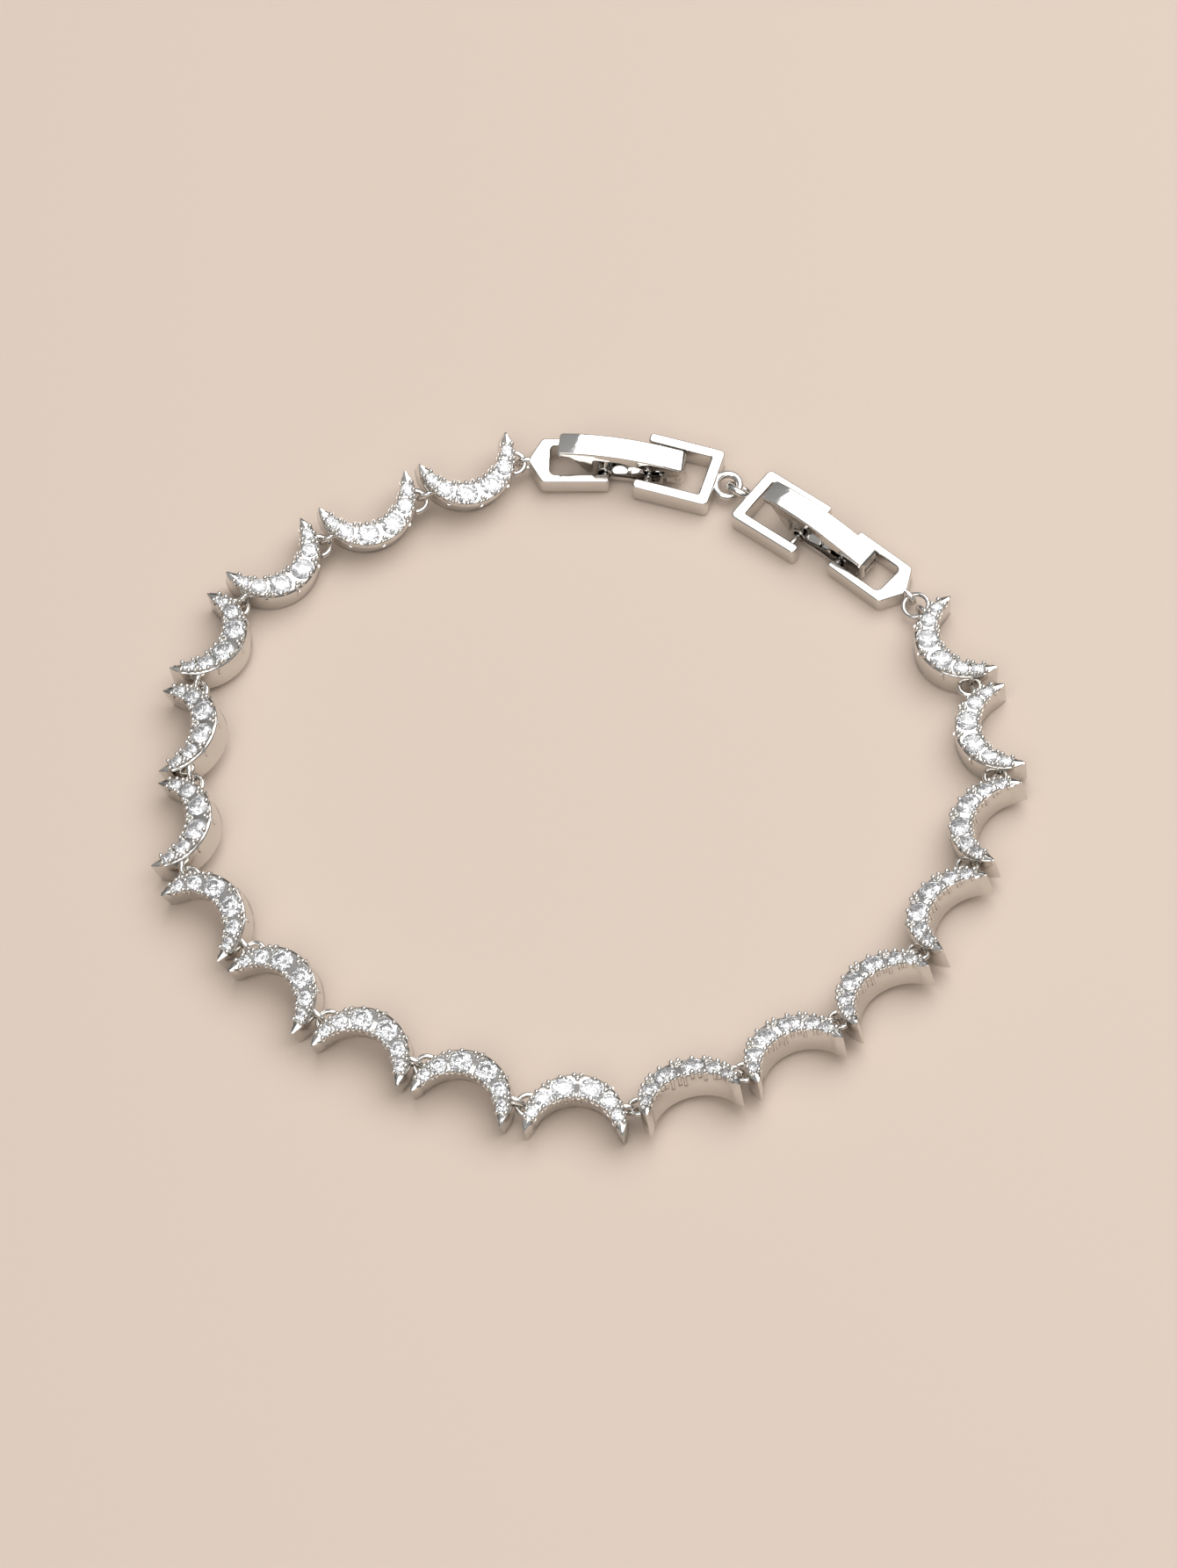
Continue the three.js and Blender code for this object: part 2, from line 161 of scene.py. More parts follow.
@dataclass(frozen=True)
class ClearStone:
    """Colourless cubic zirconia, a little milky."""

    name: str = "clear stone"
    colour: tuple[float, float, float] = (0.985, 0.985, 1.0)
    index: float = 2.15
    clearness: float = 0.85

    def material(self) -> bpy.types.Material:
        """Builds the stone's clear, sharply reflecting material.

        Returns:
            The material.
        """
        material, _, shader = new_material(self.name)
        shader.inputs["Base Color"].default_value = (*self.colour, 1.0)
        shader.inputs["Roughness"].default_value = 0.0
        shader.inputs["IOR"].default_value = self.index
        shader.inputs["Transmission Weight"].default_value = self.clearness
        return material


@dataclass(frozen=True)
class PaleFloor:
    """Matt champagne-beige surface."""

    name: str = "pale floor"
    colour: tuple[float, float, float] = (0.6, 0.495, 0.415)
    roughness: float = 0.6

    def material(self) -> bpy.types.Material:
        """Builds the floor's plain material.

        Returns:
            The material.
        """
        material, _, shader = new_material(self.name)
        shader.inputs["Base Color"].default_value = (*self.colour, 1.0)
        shader.inputs["Roughness"].default_value = self.roughness
        shader.inputs["Specular IOR Level"].default_value = 0.25
        return material


# ---------------------------------------------------------------------------------------- modelling


def circle(count: int, offset: float = 0.0) -> list[float]:
    """Lists even turns round a circle, in radians, offset by a share of a step."""
    return [math.tau * (k + offset) / count for k in range(count)]


def fillet(corners: Sequence[tuple[float, float, float]], steps: int = 6) -> list[Vector]:
    """Rounds the corners of a closed outline.

    Args:
        corners: for each corner its x, y and rounding radius.
        steps: segments in each rounding.

    Returns:
        The rounded outline's points.
    """
    points: list[Vector] = []
    count = len(corners)
    for i, (x, y, radius) in enumerate(corners):
        here = Vector((x, y))
        before = (Vector(corners[i - 1][:2]) - here).normalized()
        after = (Vector(corners[(i + 1) % count][:2]) - here).normalized()
        half = before.angle(after) / 2
        if radius <= 0 or half > math.radians(89):
            points.append(here)
            continue
        middle = here + (before + after).normalized() * radius / math.sin(half)
        start = here + before * radius / math.tan(half) - middle
        finish = here + after * radius / math.tan(half) - middle
        sweep = start.angle_signed(finish)
        for k in range(steps + 1):
            turned = start.copy()
            turned.rotate(Matrix.Rotation(-sweep * k / steps, 2))
            points.append(middle + turned)
    return points


def inset(outline: Sequence[Vector], distance: float) -> list[Vector]:
    """Moves an anticlockwise outline inwards.

    Args:
        outline: points in order, anticlockwise.
        distance: how far each side moves in.

    Returns:
        The moved points.
    """
    moved: list[Vector] = []
    count = len(outline)
    for i, here in enumerate(outline):
        into = (here - outline[i - 1]).normalized()
        out = (outline[(i + 1) % count] - here).normalized()
        left_in, left_out = Vector((-into.y, into.x)), Vector((-out.y, out.x))
        mitre = (left_in + left_out).normalized()
        moved.append(here + mitre * distance / max(0.5, mitre.dot(left_out)))
    return moved


class Build:
    """A mesh under construction, in millimetres in its piece's own frame.

    SUPPORT is the flat strip kept beside each rounded edge. NECK gives a prong's half width at shares
    of its neck's length, and DROP the turn where the drop at its end starts and how far it sweeps.
    """

    SUPPORT = 0.05
    NECK = ((0.0, 1.0), (0.5, 0.82), (1.0, 0.78))
    DROP = (0.22, 0.74)

    def __init__(self) -> None:
        """Starts empty."""
        self.mesh = bmesh.new()

    def loft(self, rings: Sequence[Sequence[Vector]], closed: bool = False) -> None:
        """Skins closed rings of points in order.

        Args:
            rings: rings with the same number of points.
            closed: joins the last ring to the first instead of capping both ends.
        """
        made = [[self.mesh.verts.new(p) for p in ring] for ring in rings]
        pairs = list(zip(made, made[1:] + made[:1] if closed else made[1:]))
        for one, two in pairs:
            for i in range(len(one)):
                j = (i + 1) % len(one)
                self.mesh.faces.new((one[i], one[j], two[j], two[i]))
        if not closed:
            self.mesh.faces.new(list(reversed(made[0])))
            self.mesh.faces.new(made[-1])

    def pillow(
        self,
        outline: Sequence[Vector],
        low: float,
        high: float,
        soft: float,
        to_space: Callable[[Vector, float], Vector] = lambda p, h: Vector((p.x, p.y, h)),
        steps: int = 4,
    ) -> None:
        """Adds a plate with rounded edges.

        Args:
            outline: its outline, anticlockwise.
            low: where the plate starts along its thickness.
            high: where it ends.
            soft: radius of the rounded edges.
            to_space: turns an outline point and a height into a point of the piece's frame.
            steps: segments in each rounded edge.
        """
        profile = [(soft + self.SUPPORT, low)]
        for k in range(steps + 1):
            turn = math.pi / 2 * k / steps
            profile.append((soft * (1 - math.sin(turn)), low + soft * (1 - math.cos(turn))))
        for k in range(steps + 1):
            turn = math.pi / 2 * k / steps
            profile.append((soft * (1 - math.cos(turn)), high - soft * (1 - math.sin(turn))))
        profile.append((soft + self.SUPPORT, high))
        self.loft([[to_space(p, height) for p in inset(outline, depth)] for depth, height in profile])

    def tube(
        self, path: Sequence[Vector], radius: float, up: Vector, closed: bool, sides: int = 12
    ) -> None:
        """Adds a wire along a plane path.

        Args:
            path: points along the middle of the wire.
            radius: the wire's radius.
            up: direction square to the plane of the path.
            closed: joins the end to the start.
            sides: sides of the wire's section.
        """
        count = len(path)
        rings = []
        for i, here in enumerate(path):
            before = path[i - 1] if closed or i > 0 else here
            after = path[(i + 1) % count] if closed or i < count - 1 else here
            along = (after - before).normalized()
            side = along.cross(up).normalized()
            rings.append([
                here + side * radius * math.cos(a) + up * radius * math.sin(a) for a in circle(sides)
            ])
        self.loft(rings, closed)

    def arc_wire(
        self,
        centre: Vector,
        along: Vector,
        across: Vector,
        reach: tuple[float, float],
        wire: float,
        start: float,
        finish: float,
        steps: int = 28,
    ) -> None:
        """Adds a round wire bent along part of an ellipse, or all of it.

        Args:
            centre: middle of the ellipse.
            along: direction of its first half axis.
            across: direction of its second half axis.
            reach: the two half axes.
            wire: radius of the wire.
            start: first angle from along, in degrees.
            finish: last angle, in degrees.
            steps: segments along the wire.
        """
        whole = finish - start >= 360
        count = steps if whole else steps + 1
        turns = [math.radians(start + (finish - start) * k / steps) for k in range(count)]
        path = [
            centre + along * reach[0] * math.cos(t) + across * reach[1] * math.sin(t) for t in turns
        ]
        self.tube(path, wire, along.cross(across).normalized(), closed=whole)

    def rod(
        self, centre: Vector, radius: float, length: float, soft: float = 0.02, sides: int = 28
    ) -> None:
        """Adds a round bar along y.

        Args:
            centre: its middle.
            radius: its radius.
            length: its length.
            soft: rounding of its ends.
            sides: sides of its section.
        """
        section = [Vector((math.cos(a), math.sin(a))) * radius for a in circle(sides)]
        self.pillow(section, -length / 2, length / 2, soft,
                    lambda p, h: centre + Vector((p.x, -h, p.y)), steps=3)

    def ball(self, centre: Vector, radii: Vector, around: int = 12, rings: int = 8) -> None:
        """Adds a bead.

        Args:
            centre: its middle.
            radii: its half sizes along x, y and z.
            around: segments around z.
            rings: segments from pole to pole.
        """
        place = Matrix.Translation(centre) @ Matrix.Diagonal((*radii, 1.0))
        bmesh.ops.create_uvsphere(
            self.mesh, u_segments=around, v_segments=rings, radius=1.0, matrix=place)

    def drop(
        self,
        top: Vector,
        length: float,
        wide: float,
        proud: Vector,
        along: Vector,
        steps: int = 6,
        sides: int = 12,
    ) -> None:
        """Adds a prong that runs down a wall and ends in a round drop.

        Args:
            top: its upper end.
            length: its length.
            wide: its half width at the drop.
            proud: how far and where the drop stands proud of the wall.
            along: direction along the wall.
            steps: segments along the drop.
            sides: sides of its section.
        """
        neck = max(0.05, length - 2 * wide)
        start, sweep = self.DROP
        heights = [(neck * share, size) for share, size in self.NECK]
        for k in range(1, steps + 1):
            turn = math.pi * (start + sweep * k / steps)
            heights.append((neck + wide * (1 - math.cos(turn)), math.sin(turn)))
        self.loft([
            [top - Z * down + along * wide * size * math.cos(a) + proud * size * math.sin(a)
             for a in circle(sides)]
            for down, size in heights
        ])

    def take(self, mesh: bpy.types.Mesh) -> None:
        """Adds a finished mesh, which is then removed."""
        self.mesh.from_mesh(mesh)
        bpy.data.meshes.remove(mesh)

    def data(self, name: str) -> bpy.types.Mesh:
        """Closes the build.

        Args:
            name: the mesh's name.

        Returns:
            The mesh, its faces turned outwards.
        """
        bmesh.ops.recalc_face_normals(self.mesh, faces=self.mesh.faces)
        mesh = bpy.data.meshes.new(name)
        self.mesh.to_mesh(mesh)
        self.mesh.free()
        return mesh


class Keep(Enum):
    """What a cut keeps of a mesh: what lies outside the cutter, or what lies inside it."""

    OUTSIDE = "DIFFERENCE"
    INSIDE = "INTERSECT"


def cut(
    mesh: bpy.types.Mesh, cutter: bpy.types.Mesh, keep: Keep = Keep.OUTSIDE
) -> bpy.types.Mesh:
    """Cuts one mesh with another.

    Args:
        mesh: the mesh to work on, removed afterwards.
        cutter: the other mesh, removed afterwards.
        keep: the share of the mesh to keep.

    Returns:
        The result as a new mesh.
    """
    body, tool = bpy.data.objects.new("body", mesh), bpy.data.objects.new("tool", cutter)
    for obj in (body, tool):
        bpy.context.scene.collection.objects.link(obj)
    modifier = body.modifiers.new("cut", "BOOLEAN")
    modifier.operation = keep.value
    modifier.solver = "EXACT"
    modifier.object = tool
    modifier.use_self = True
    bpy.context.view_layer.update()
    solid = body.evaluated_get(bpy.context.evaluated_depsgraph_get())
    result = bpy.data.meshes.new_from_object(solid)
    for obj in (body, tool):
        bpy.data.objects.remove(obj)
    for old in (mesh, cutter):
        bpy.data.meshes.remove(old)
    return result


def show(
    name: str,
    mesh: bpy.types.Mesh,
    place: Matrix,
    material: bpy.types.Material,
    body: str,
    stands_for: str | None = None,
    sharp: float | None = 35.0,
) -> bpy.types.Object:
    """Lays a piece in the scene and ties it to the part.

    Args:
        name: the piece's name.
        mesh: its mesh, in millimetres in its own frame.
        place: where that frame lies, in millimetres.
        material: its finish.
        body: the body it moves with.
        stands_for: the CAD node it replaces, if any.
        sharp: edges over this many degrees stay sharp; None leaves every face flat.

    Returns:
        The new object.
    """
    mesh.transform(Matrix.Scale(MM, 4) @ place)
    mesh.materials.clear()
    mesh.materials.append(material)
    if sharp is None:
        mesh.shade_flat()
    else:
        mesh.shade_smooth()
        mesh.set_sharp_from_angle(angle=math.radians(sharp))
    obj = bpy.data.objects.new(name, mesh)
    bpy.context.scene.collection.objects.link(obj)
    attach(obj, body)
    if stands_for:
        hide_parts(stands_for)
    log.info("%s: %d faces on %s", name, len(mesh.polygons), body)
    return obj


# ---------------------------------------------------------------------------------------- crescents


@dataclass(frozen=True)
class Brilliant:
    """Round brilliant cut, its proportions as shares of the diameter."""

    table: float = 0.57
    crown: float = 0.15
    girdle: float = 0.025
    pavilion: float = 0.43
    shoulder: float = 0.40
    keel: float = 0.11

    def add(self, build: Build, place: Matrix, diameter: float) -> None:
        """Adds a stone with its girdle's top at the place's origin.

        Args:
            build: the mesh to add to.
            place: the stone's frame.
            diameter: its diameter.
        """
        radius = diameter / 2
        wedge = math.cos(math.pi / 8)
        crown, pavilion = self.crown * diameter, self.pavilion * diameter
        table, shoulder, keel = self.table * radius, self.shoulder * diameter, self.keel * diameter
        girdle = -self.girdle * diameter
        shoulder_height = crown * (radius - shoulder * wedge) / (radius - table)
        keel_height = girdle - pavilion * (1 - keel * wedge / radius)

        def ring(
            count: int, distance: float, height: float, offset: float = 0.0
        ) -> list[bmesh.types.BMVert]:
            """Adds a ring of corners around the stone.

            Args:
                count: how many corners.
                distance: their distance from the stone's axis.
                height: their height over the girdle's top.
                offset: share of a step by which they are turned.

            Returns:
                The new corners.
            """
            corners = [Vector((distance * math.cos(t), distance * math.sin(t), height))
                       for t in circle(count, offset)]
            return [build.mesh.verts.new(place @ corner) for corner in corners]

        top = ring(8, table, crown)
        star = ring(8, shoulder, shoulder_height, 0.5)
        upper = ring(16, radius, 0.0)
        lower = ring(16, radius, girdle)
        deep = ring(8, keel, keel_height, 0.5)
        culet = build.mesh.verts.new(place @ Vector((0, 0, girdle - pavilion)))
        face = build.mesh.faces.new
        face(top)
        for i in range(8):
            after, g = (i + 1) % 8, 2 * i
            face((top[i], star[i], top[after]))
            face((top[i], star[i - 1], upper[g], star[i]))
            face((star[i], upper[g], upper[g + 1]))
            face((star[i], upper[g + 1], upper[(g + 2) % 16]))
            face((culet, deep[i], lower[g], deep[i - 1]))
            face((deep[i], lower[g + 1], lower[g]))
            face((deep[i], lower[(g + 2) % 16], lower[g + 1]))
        for g in range(16):
            after = (g + 1) % 16
            face((upper[g], upper[after], lower[after], lower[g]))


@dataclass(frozen=True)
class BeadRow:
    """Beads along an edge of the band.

    Their middles lie inward from the edge and lift above the bed, sizes is their range as shares of a
    bead, and tall stretches them upwards.
    """

    inward: float
    lift: float
    sizes: tuple[float, float]
    tall: float = 1.0


@dataclass(frozen=True)
class Prong:
    """A prong on a wall.

    It starts inward from the edge and lift above the bed; wide is its half width and proud how far it
    stands out.
    """

    inward: float
    lift: float
    wide: float
    proud: float


@dataclass(frozen=True)
class WireEye:
    """A wire loop or eye: its middle's distance from its joint, its radius, wire and half sweep."""

    middle: float
    radius: float
    wire: float = 0.2
    sweep: float = 112.0


@dataclass
class Crescent:
    """One paved crescent link: band, stones, beads, prongs, loop and eye.

    Its own frame has x along the chain from its first joint, y towards the belly and z up from the
    joint line. Angles run from the middle of the belly, in degrees. stones lists each stone's angle and
    diameter, and seat the cup under it: radii as shares of the diameter, and heights. bead_groups lists
    each group's angle and half the distance between its two beads, or 0 for a single bead;
    between_beads are single beads beside the stones, and filling_beads stand behind the convex edge.
    The large stones lie within belly of the middle. A convex wall's prong is outer_length long; a
    concave wall's is the first of inner_length, and the second more at the middle of the belly; each
    then varies by its spread.
    """

    pitch: float = 8.0
    joint_depth: float = 2.3
    joint_height: float = 1.05
    outer_centre: float = 0.73
    outer_radius: float = 3.77
    inner_centre: float = -0.55
    inner_radius: float = 3.2
    ray_centre: float = 0.09
    horn_angle: float = 74.0
    horn_bends: tuple[tuple[float, float], ...] = ((0.01, 0.5), (0.2, 0.42))
    tip: tuple[float, float] = (3.5, 0.02)
    blunt: float = 0.05
    belly_steps: int = 48
    horn_steps: int = 10
    bed: float = 2.2
    rim: float = 0.2
    rim_lap: float = 0.06
    seat: tuple[tuple[float, float], ...] = ((0.5, 0.3), (0.47, 0.0), (0.44, -0.08))
    seat_foot: float = 0.2
    seat_room: float = 0.12
    stone_lift: float = 0.01
    stone_tilt: float = 3.0
    stones: tuple[tuple[float, float], ...] = (
        (-66.5, 1.0), (-45.0, 1.24), (-17.2, 1.72), (17.2, 1.72), (45.0, 1.24), (66.5, 1.0))
    bead_groups: tuple[tuple[float, float], ...] = (
        (-75.5, 0.0), (-56.5, 0.18), (-32.8, 0.2), (0.0, 0.22), (32.8, 0.2), (56.5, 0.18), (75.5, 0.0))
    between_beads: tuple[float, ...] = (-66.5, -45.0, -17.2, 17.2, 45.0, 66.5)
    filling_beads: tuple[float, ...] = (-56.5, -32.8, 0.0, 32.8, 56.5)
    belly: float = 40.0
    bead: float = 0.2
    outer_row: BeadRow = BeadRow(0.19, 0.1, (0.92, 1.08), 1.15)
    inner_row: BeadRow = BeadRow(0.05, 0.12, (0.9, 1.05), 1.2)
    filling: BeadRow = BeadRow(0.47, 0.06, (0.85, 1.0))
    outer_prong: Prong = Prong(0.01, -0.22, 0.13, 0.14)
    inner_prong: Prong = Prong(0.03, 0.08, 0.17, 0.2)
    outer_length: float = 0.55
    outer_spread: tuple[float, float] = (0.7, 1.3)
    inner_length: tuple[float, float] = (0.35, 0.6)
    inner_spread: tuple[float, float] = (0.4, 1.5)
    prong_radius: float = 2.8
    loop: WireEye = WireEye(0.53, 0.8)
    eye: WireEye = WireEye(0.51, 0.78)
    cut: Brilliant = field(default_factory=Brilliant)

    @property
    def shift(self) -> Vector:
        """From the plan's origin under the band to the link's first joint."""
        return Vector((self.pitch / 2, -self.joint_depth, -self.joint_height))

    def edges(self, angle: float) -> tuple[Vector, Vector]:
        """Finds the band's two edges.

        Args:
            angle: direction to look in.

        Returns:
            The outer and the inner edge's point in plan.
        """
        turn = math.radians(angle)
        ray = Vector((math.sin(turn), math.cos(turn), 0))
        arcs = ((self.outer_centre, self.outer_radius), (self.inner_centre, self.inner_radius))
        found = []
        for centre, radius in arcs:
            offset = self.ray_centre - centre
            along = -offset * ray.y + math.sqrt((offset * ray.y) ** 2 - offset ** 2 + radius ** 2)
            found.append(Vector((0, self.ray_centre, 0)) + ray * along)
        return found[0], found[1]

    def horn(self, side: int, share: float) -> tuple[Vector, Vector]:
        """Finds the two edges of a horn's plain tip.

        Args:
            side: 1 for the horn on +x, -1 for the other.
            share: 0 where the tip starts, 1 at its point.

        Returns:
            The outer and the inner edge's point in plan.
        """
        starts = self.edges(self.horn_angle)
        bends = [Vector((start.x + out, y, 0)) for start, (out, y) in zip(starts, self.horn_bends)]
        ends = [Vector((self.tip[0] + blunt, self.tip[1], 0)) for blunt in (self.blunt, -self.blunt)]
        found = []
        for start, bend, end in zip(starts, bends, ends):
            p = start * (1 - share) ** 2 + bend * 2 * share * (1 - share) + end * share ** 2
            found.append(Vector((side * p.x, p.y, 0)))
        return found[0], found[1]

    def paved_section(self, width: float) -> list[tuple[float, float]]:
        """Draws the section of the paved band.

        Args:
            width: the band's width there.

        Returns:
            The section's corners: distance from the outer wall and height.
        """
        return [
            (0.10, 0.0), (0.03, 0.03), (0.0, 0.10), (0.0, 1.96), (0.02, 2.04), (0.07, 2.10),
            (0.14, 2.14), (self.rim - 0.05, 2.16), (self.rim - 0.02, 2.10), (self.rim + 0.02, self.bed),
            (width - 0.06, self.bed), (width - 0.02, self.bed - 0.02), (width, self.bed - 0.07),
            (width, 0.10), (width - 0.03, 0.03), (width - 0.10, 0.0),
        ]

    def ridged_section(self, width: float, share: float) -> list[tuple[float, float]]:
        """Draws the section of a horn's plain tip, which has a ridge along its top.

        Args:
            width: the tip's width there.
            share: 0 where the tip starts, 1 at its point.

        Returns:
            The section's corners: distance from the outer wall and height.
        """
        foot = min(0.1, width / 4)
        shoulder = self.bed - 0.1 * share
        ridge = self.bed + 0.06 - 0.13 * share ** 2
        rise = ridge - shoulder
        roof = [
            (0.07, 0.0), (0.22, 0.33), (0.38, 0.72), (0.46, 0.92), (0.5, 1.0), (0.54, 0.92), (0.9, 0.0)]
        return [
            (foot, 0.0), (foot / 3, 0.03), (0.0, 0.10), (0.0, shoulder - 0.08),
            (0.02 * width, shoulder - 0.03),
            *((across * width, shoulder + up * rise) for across, up in roof),
            (width, shoulder - 0.08), (width, 0.10), (width - foot / 3, 0.03), (width - foot, 0.0),
        ]

    def band(self) -> bpy.types.Mesh:
        """Builds the cast band with its stone seats cut.

        Returns:
            The band's mesh in plan place.
        """
        stations: list[tuple[Vector, Vector, float | None]] = []
        for k in range(self.horn_steps, 0, -1):
            stations.append((*self.horn(-1, k / self.horn_steps), k / self.horn_steps))
        for k in range(self.belly_steps + 1):
            angle = -self.horn_angle + 2 * self.horn_angle * k / self.belly_steps
            stations.append((*self.edges(angle), None))
        for k in range(1, self.horn_steps + 1):
            stations.append((*self.horn(1, k / self.horn_steps), k / self.horn_steps))
        rings = []
        for outer, inner, share in stations:
            across = inner - outer
            width = across.length
            across.normalize()
            if share is None:
                section = self.paved_section(width)
            else:
                section = self.ridged_section(width, share)
            rings.append([outer + across * u + Z * height for u, height in section])
        build = Build()
        build.loft(rings)
        return cut(build.data("band"), self.seats())

    def seats(self) -> bpy.types.Mesh:
        """Builds the seats drilled for the stones: a cup and a cone under each.

        Returns:
            The seats' mesh in plan place.
        """
        seats = Build()
        for angle, diameter in self.stones:
            middle = self.stone_middle(angle)
            depth = self.cut.pavilion * diameter + self.seat_room
            seats.loft([
                [middle + Vector((diameter * r * math.cos(a), diameter * r * math.sin(a), height))
                 for a in circle(24)]
                for r, height in (*self.seat, (self.seat_foot, -depth))
            ])
        return seats.data("seats")

    def stone_middle(self, angle: float) -> Vector:
        """Finds the middle of a stone's girdle.

        Args:
            angle: the stone's direction.

        Returns:
            The middle in plan place.
        """
        outer, inner = self.edges(angle)
        width = (inner - outer).length
        near = self.rim - self.rim_lap
        return outer.lerp(inner, (near + width) / 2 / width) + Z * self.bed

    def metal(self) -> bpy.types.Mesh:
        """Builds the whole metal link.

        Returns:
            The metal's mesh in the link's own frame.
        """
        dice = random.Random(BEAD_SEED)
        beads = Build()
        for angle, spread in self.bead_groups:
            for side in ((-1, 1) if spread else (0,)):
                self.add_outer_bead(beads, angle, side * spread, dice)
                self.add_inner_bead(beads, angle, side * spread, dice)
        for angle in self.filling_beads:
            outer, inner = self.edges(angle)
            self.add_bead(beads, self.filling, outer, (inner - outer).normalized(), dice)
        for angle in self.between_beads:
            self.add_outer_bead(beads, angle, 0.0, dice)
            if abs(angle) < self.belly:
                self.add_inner_bead(beads, angle, 0.0, dice)
        metal = beads.data("beads")
        whole = Build()
        for mesh in (self.band(), metal):
            whole.take(mesh)
        bmesh.ops.translate(whole.mesh, verts=whole.mesh.verts, vec=self.shift)
        wires = Build()
        for eye, middle, out, across in (
            (self.loop, X * self.loop.middle, -X, Y),
            (self.eye, X * (self.pitch - self.eye.middle), X, Z),
        ):
            wires.arc_wire(
                middle, out, across, (eye.radius, eye.radius), eye.wire, -eye.sweep, eye.sweep)
        whole.take(wires.data("wires"))
        return whole.data("crescent")

    def add_bead(
        self, build: Build, row: BeadRow, edge: Vector, into: Vector, dice: random.Random
    ) -> None:
        """Adds one bead.

        Args:
            build: the mesh to add to.
            row: the row it belongs to.
            edge: the point of the band's edge beside it.
            into: direction from the edge into the band.
            dice: seeded source of its size.
        """
        size = self.bead * dice.uniform(*row.sizes)
        middle = edge + into * row.inward + Z * (self.bed + row.lift)
        build.ball(middle, Vector((size, size, size * row.tall)))

    def add_prong(
        self, build: Build, prong: Prong, edge: Vector, into: Vector, length: float
    ) -> None:
        """Adds one prong down a wall.

        Args:
            build: the mesh to add to.
            prong: its sizes.
            edge: the point of the band's edge above it.
            into: direction from the edge into the band.
            length: its length.
        """
        top = edge + into * prong.inward + Z * (self.bed + prong.lift)
        build.drop(top, length, prong.wide, into * -prong.proud, into.cross(Z))

    def add_outer_bead(
        self, build: Build, angle: float, aside: float, dice: random.Random
    ) -> None:
        """Adds a bead by the convex edge, and by the large stones a short prong on the wall.

        Args:
            build: the mesh to add to.
            angle: direction of the bead's group.
            aside: the bead's distance along the edge from there.
            dice: seeded source of sizes and lengths.
        """
        outer, inner = self.edges(angle + math.degrees(aside / self.outer_radius))
        into = (inner - outer).normalized()
        self.add_bead(build, self.outer_row, outer, into, dice)
        if abs(angle) < self.belly and aside > 0:
            length = self.outer_length * dice.uniform(*self.outer_spread)
            self.add_prong(build, self.outer_prong, outer, into, length)

    def add_inner_bead(
        self, build: Build, angle: float, aside: float, dice: random.Random
    ) -> None:
        """Adds a bead on the concave edge with its prong running down the wall.

        Args:
            build: the mesh to add to.
            angle: direction of the bead's group.
            aside: the bead's distance along the edge from there.
            dice: seeded source of sizes and lengths.
        """
        outer, inner = self.edges(angle + math.degrees(aside / self.prong_radius))
        into = (outer - inner).normalized()
        self.add_bead(build, self.inner_row, inner, into, dice)
        least, more = self.inner_length
        length = least + more * math.cos(math.radians(angle)) * dice.uniform(*self.inner_spread)
        self.add_prong(build, self.inner_prong, inner, into, length)

    def brilliants(self, dice: random.Random) -> bpy.types.Mesh:
        """Builds the link's stones.

        Args:
            dice: seeded source of each stone's turn and tilt.

        Returns:
            The stones' mesh in the link's own frame.
        """
        build = Build()
        most = self.stone_tilt
        for angle, diameter in self.stones:
            tilt = Matrix.Rotation(math.radians(dice.uniform(-most, most)), 4, "X")
            tilt = tilt @ Matrix.Rotation(math.radians(dice.uniform(-most, most)), 4, "Y")
            tilt = tilt @ Matrix.Rotation(dice.uniform(0, math.tau), 4, "Z")
            middle = self.stone_middle(angle) + self.shift + Z * self.stone_lift
            self.cut.add(build, Matrix.Translation(middle) @ tilt, diameter)
        return build.data("stones")

    def lowest(self, turned: Matrix) -> float:
        """Finds the underside's lowest corner once the link is turned.

        Args:
            turned: the link's rotation.

        Returns:
            Its height from the first joint.
        """
        steps = self.belly_steps // 2
        angles = [-self.horn_angle + 2 * self.horn_angle * k / steps for k in range(steps + 1)]
        corners = [p for a in angles for p in self.edges(a)]
        corners += [p for side in (-1, 1) for p in self.horn(side, 1.0)]
        return min((turned @ (p + self.shift)).z for p in corners)


# -------------------------------------------------------------------------------------- lying chain


def towards(heading: float) -> Vector:
    """Level direction of a heading in degrees."""
    return Vector((math.cos(math.radians(heading)), math.sin(math.radians(heading)), 0))


